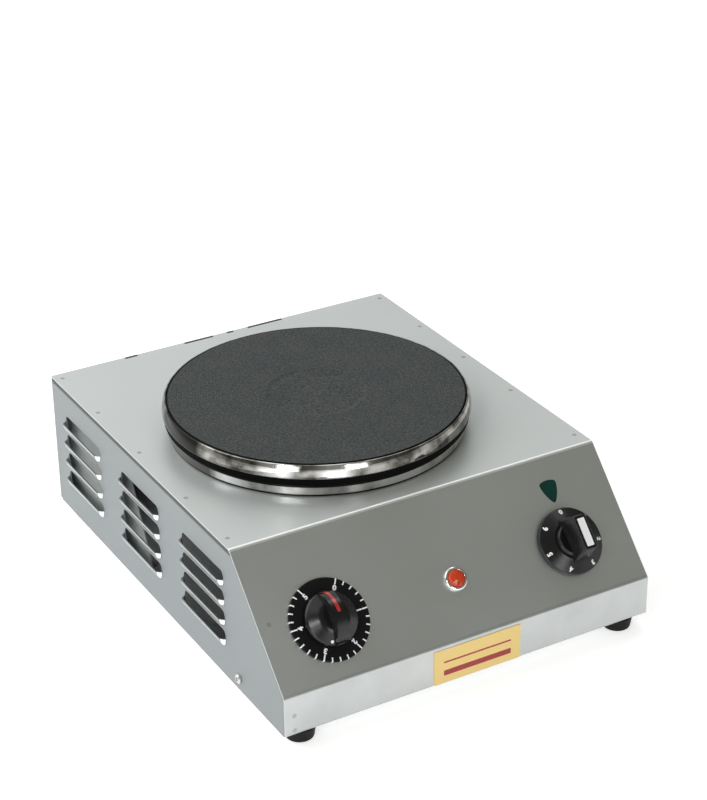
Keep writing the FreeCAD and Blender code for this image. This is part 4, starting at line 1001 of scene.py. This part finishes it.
FINISH["pointer_green"] = skin_finish("pointer_green", GREEN_LOW, GREEN_HIGH, *GREEN_ROUGH, gloss=GREEN_GLOSS)
pointer_place = flat_place(SWITCH + PANEL_RIGHT * POINTER_AT[0] + PANEL_UP * POINTER_AT[1],
                           PANEL_RIGHT, PANEL_UP, PANEL_OUT)
pointer_shell = plaque(rounded_triangle(*POINTER_SIZE), flat_profile(INK), pointer_place)
shells_to_piece("index_pointer", [pointer_shell], FINISH["pointer_green"], "housing")
print("pointer", [round(length / MM, 1) for length in POINTER_SIZE], "mm")

# %% [markdown]
# ## The pale dot
# A pale dot marks the foot of the left knob. The dome leans there, so the dot lies on a leaning plane.

# %% Pale dot
DOT_ANGLE = 202.9        # clockwise, in degrees
DOT_RADIUS = 16.75 * MM
DOT_HEIGHT = 7.6 * MM
DOT_LEAN = math.radians(33.0)    # how far the dome of the knob leans from the panel's direction there
DOT_WIDTH = 2.2 * MM


def leaning_place(centre, radius, height, clockwise, lean):
    """Plane that touches a turned body at a radius and height, with its normal leaning away from the axis."""
    away, side = panel_turn(clockwise)
    out = PANEL_OUT * math.cos(lean) + away * math.sin(lean)
    along = away * math.cos(lean) - PANEL_OUT * math.sin(lean)
    return flat_place(centre + away * radius + PANEL_OUT * height, side, along, out)


dot_place = leaning_place(THERMOSTAT, DOT_RADIUS, DOT_HEIGHT, DOT_ANGLE, DOT_LEAN)
dot_shell = plaque(superellipse(DOT_WIDTH, DOT_WIDTH, power=2.0), flat_profile(2 * INK), dot_place)
shells_to_piece("knob_dot", [dot_shell], FINISH["white_inlay"], "thermostat_control")
print("dot", round(DOT_WIDTH / MM, 1), "mm wide")

# %% [markdown]
# ## The rules of the label
# The label has two plain red rules. Their ink is thinner than the rest, because the face of the label is the
# front of the whole burner.

# %% Red rules
LABEL_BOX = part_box("front_label")
RULES = ((0.30, 0.16), (0.62, 0.05))     # height on the label and thickness, as shares of its height
RULE_LENGTH = 0.78
RULE_POWER = 20.0        # nearly square corners
RULE_INK = 0.01 * MM
LABEL_MIDDLE = (LABEL_BOX[0] + LABEL_BOX[1]) / 2
LABEL_SIZE = LABEL_BOX[1] - LABEL_BOX[0]
rule_shells = []
for level, thickness in RULES:
    origin = Vector((LABEL_MIDDLE.x, LABEL_BOX[0].y, LABEL_BOX[0].z + LABEL_SIZE.z * level))
    outline = superellipse(LABEL_SIZE.x * RULE_LENGTH, LABEL_SIZE.z * thickness, power=RULE_POWER)
    front = flat_place(origin, PANEL_RIGHT, UPWARDS, FORWARDS)
    rule_shells.append(plaque(outline, flat_profile(RULE_INK), front))
shells_to_piece("label_rules", rule_shells, FINISH["red_inlay"], "housing")
print(len(rule_shells), "rules")

# %% [markdown]
# ## Weld marks
# The flanges of the sides are spot-welded under the cover. Each spot leaves a shallow dish with a faint
# ring, in a row along both edges of the top, one on the slope and two on the band.

# %% Weld marks
WELD_R = 1.7 * MM
WELD_PROFILE = np.array([
    (0, 0), (1, 0), (0.85, 0.06 * MM), (0.6, 0.08 * MM), (0.35, 0.03 * MM), (0, 0.02 * MM)])
WELDS_TOP = {-141: (171, 105, 33, -43, -106), 141: (171, 108, 43, -23, -106)}     # millimetres: X, then Y
WELD_SLOPE = (-138.8, 56.0)      # millimetres across and down the slope from the bend
WELDS_BAND = ((-140, 26.0), (-140, 14.5))        # millimetres across and up
BAND_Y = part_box("top_cover")[0].y
WELD_LOW = (0.36, 0.36, 0.35)
WELD_HIGH = (0.46, 0.46, 0.45)
WELD_ROUGH = (0.4, 0.6)
FINISH["weld_mark"] = sheet_finish("weld_mark", WELD_LOW, WELD_HIGH, EVEN, *WELD_ROUGH)
weld_spots = []
for x, places in WELDS_TOP.items():
    weld_spots += [(Vector((x * MM, y * MM, TOP_Z)), -FORWARDS, UPWARDS) for y in places]
for x, z in WELDS_BAND:
    weld_spots.append((Vector((x * MM, BAND_Y, z * MM)), UPWARDS, FORWARDS))
slope_start = Vector((WELD_SLOPE[0] * MM, BREAK_Y, TOP_Z))
weld_spots.append((slope_start - PANEL_UP * WELD_SLOPE[1] * MM, PANEL_UP, PANEL_OUT))
weld_outline = superellipse(2 * WELD_R, 2 * WELD_R, power=2.0, count=24)
weld_shells = [plaque(weld_outline, WELD_PROFILE, flat_place(spot, PANEL_RIGHT, up, out))
               for spot, up, out in weld_spots]
shells_to_piece("weld_marks", weld_shells, FINISH["weld_mark"], "housing")
print(len(weld_shells), "weld marks")

# %% Measure the two boxes
VISUAL_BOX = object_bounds()
growth = (VISUAL_BOX[1] - VISUAL_BOX[0]) - (CAD_BOX[1] - CAD_BOX[0])
print("grown by", [round(x / MM, 3) for x in growth], "mm")
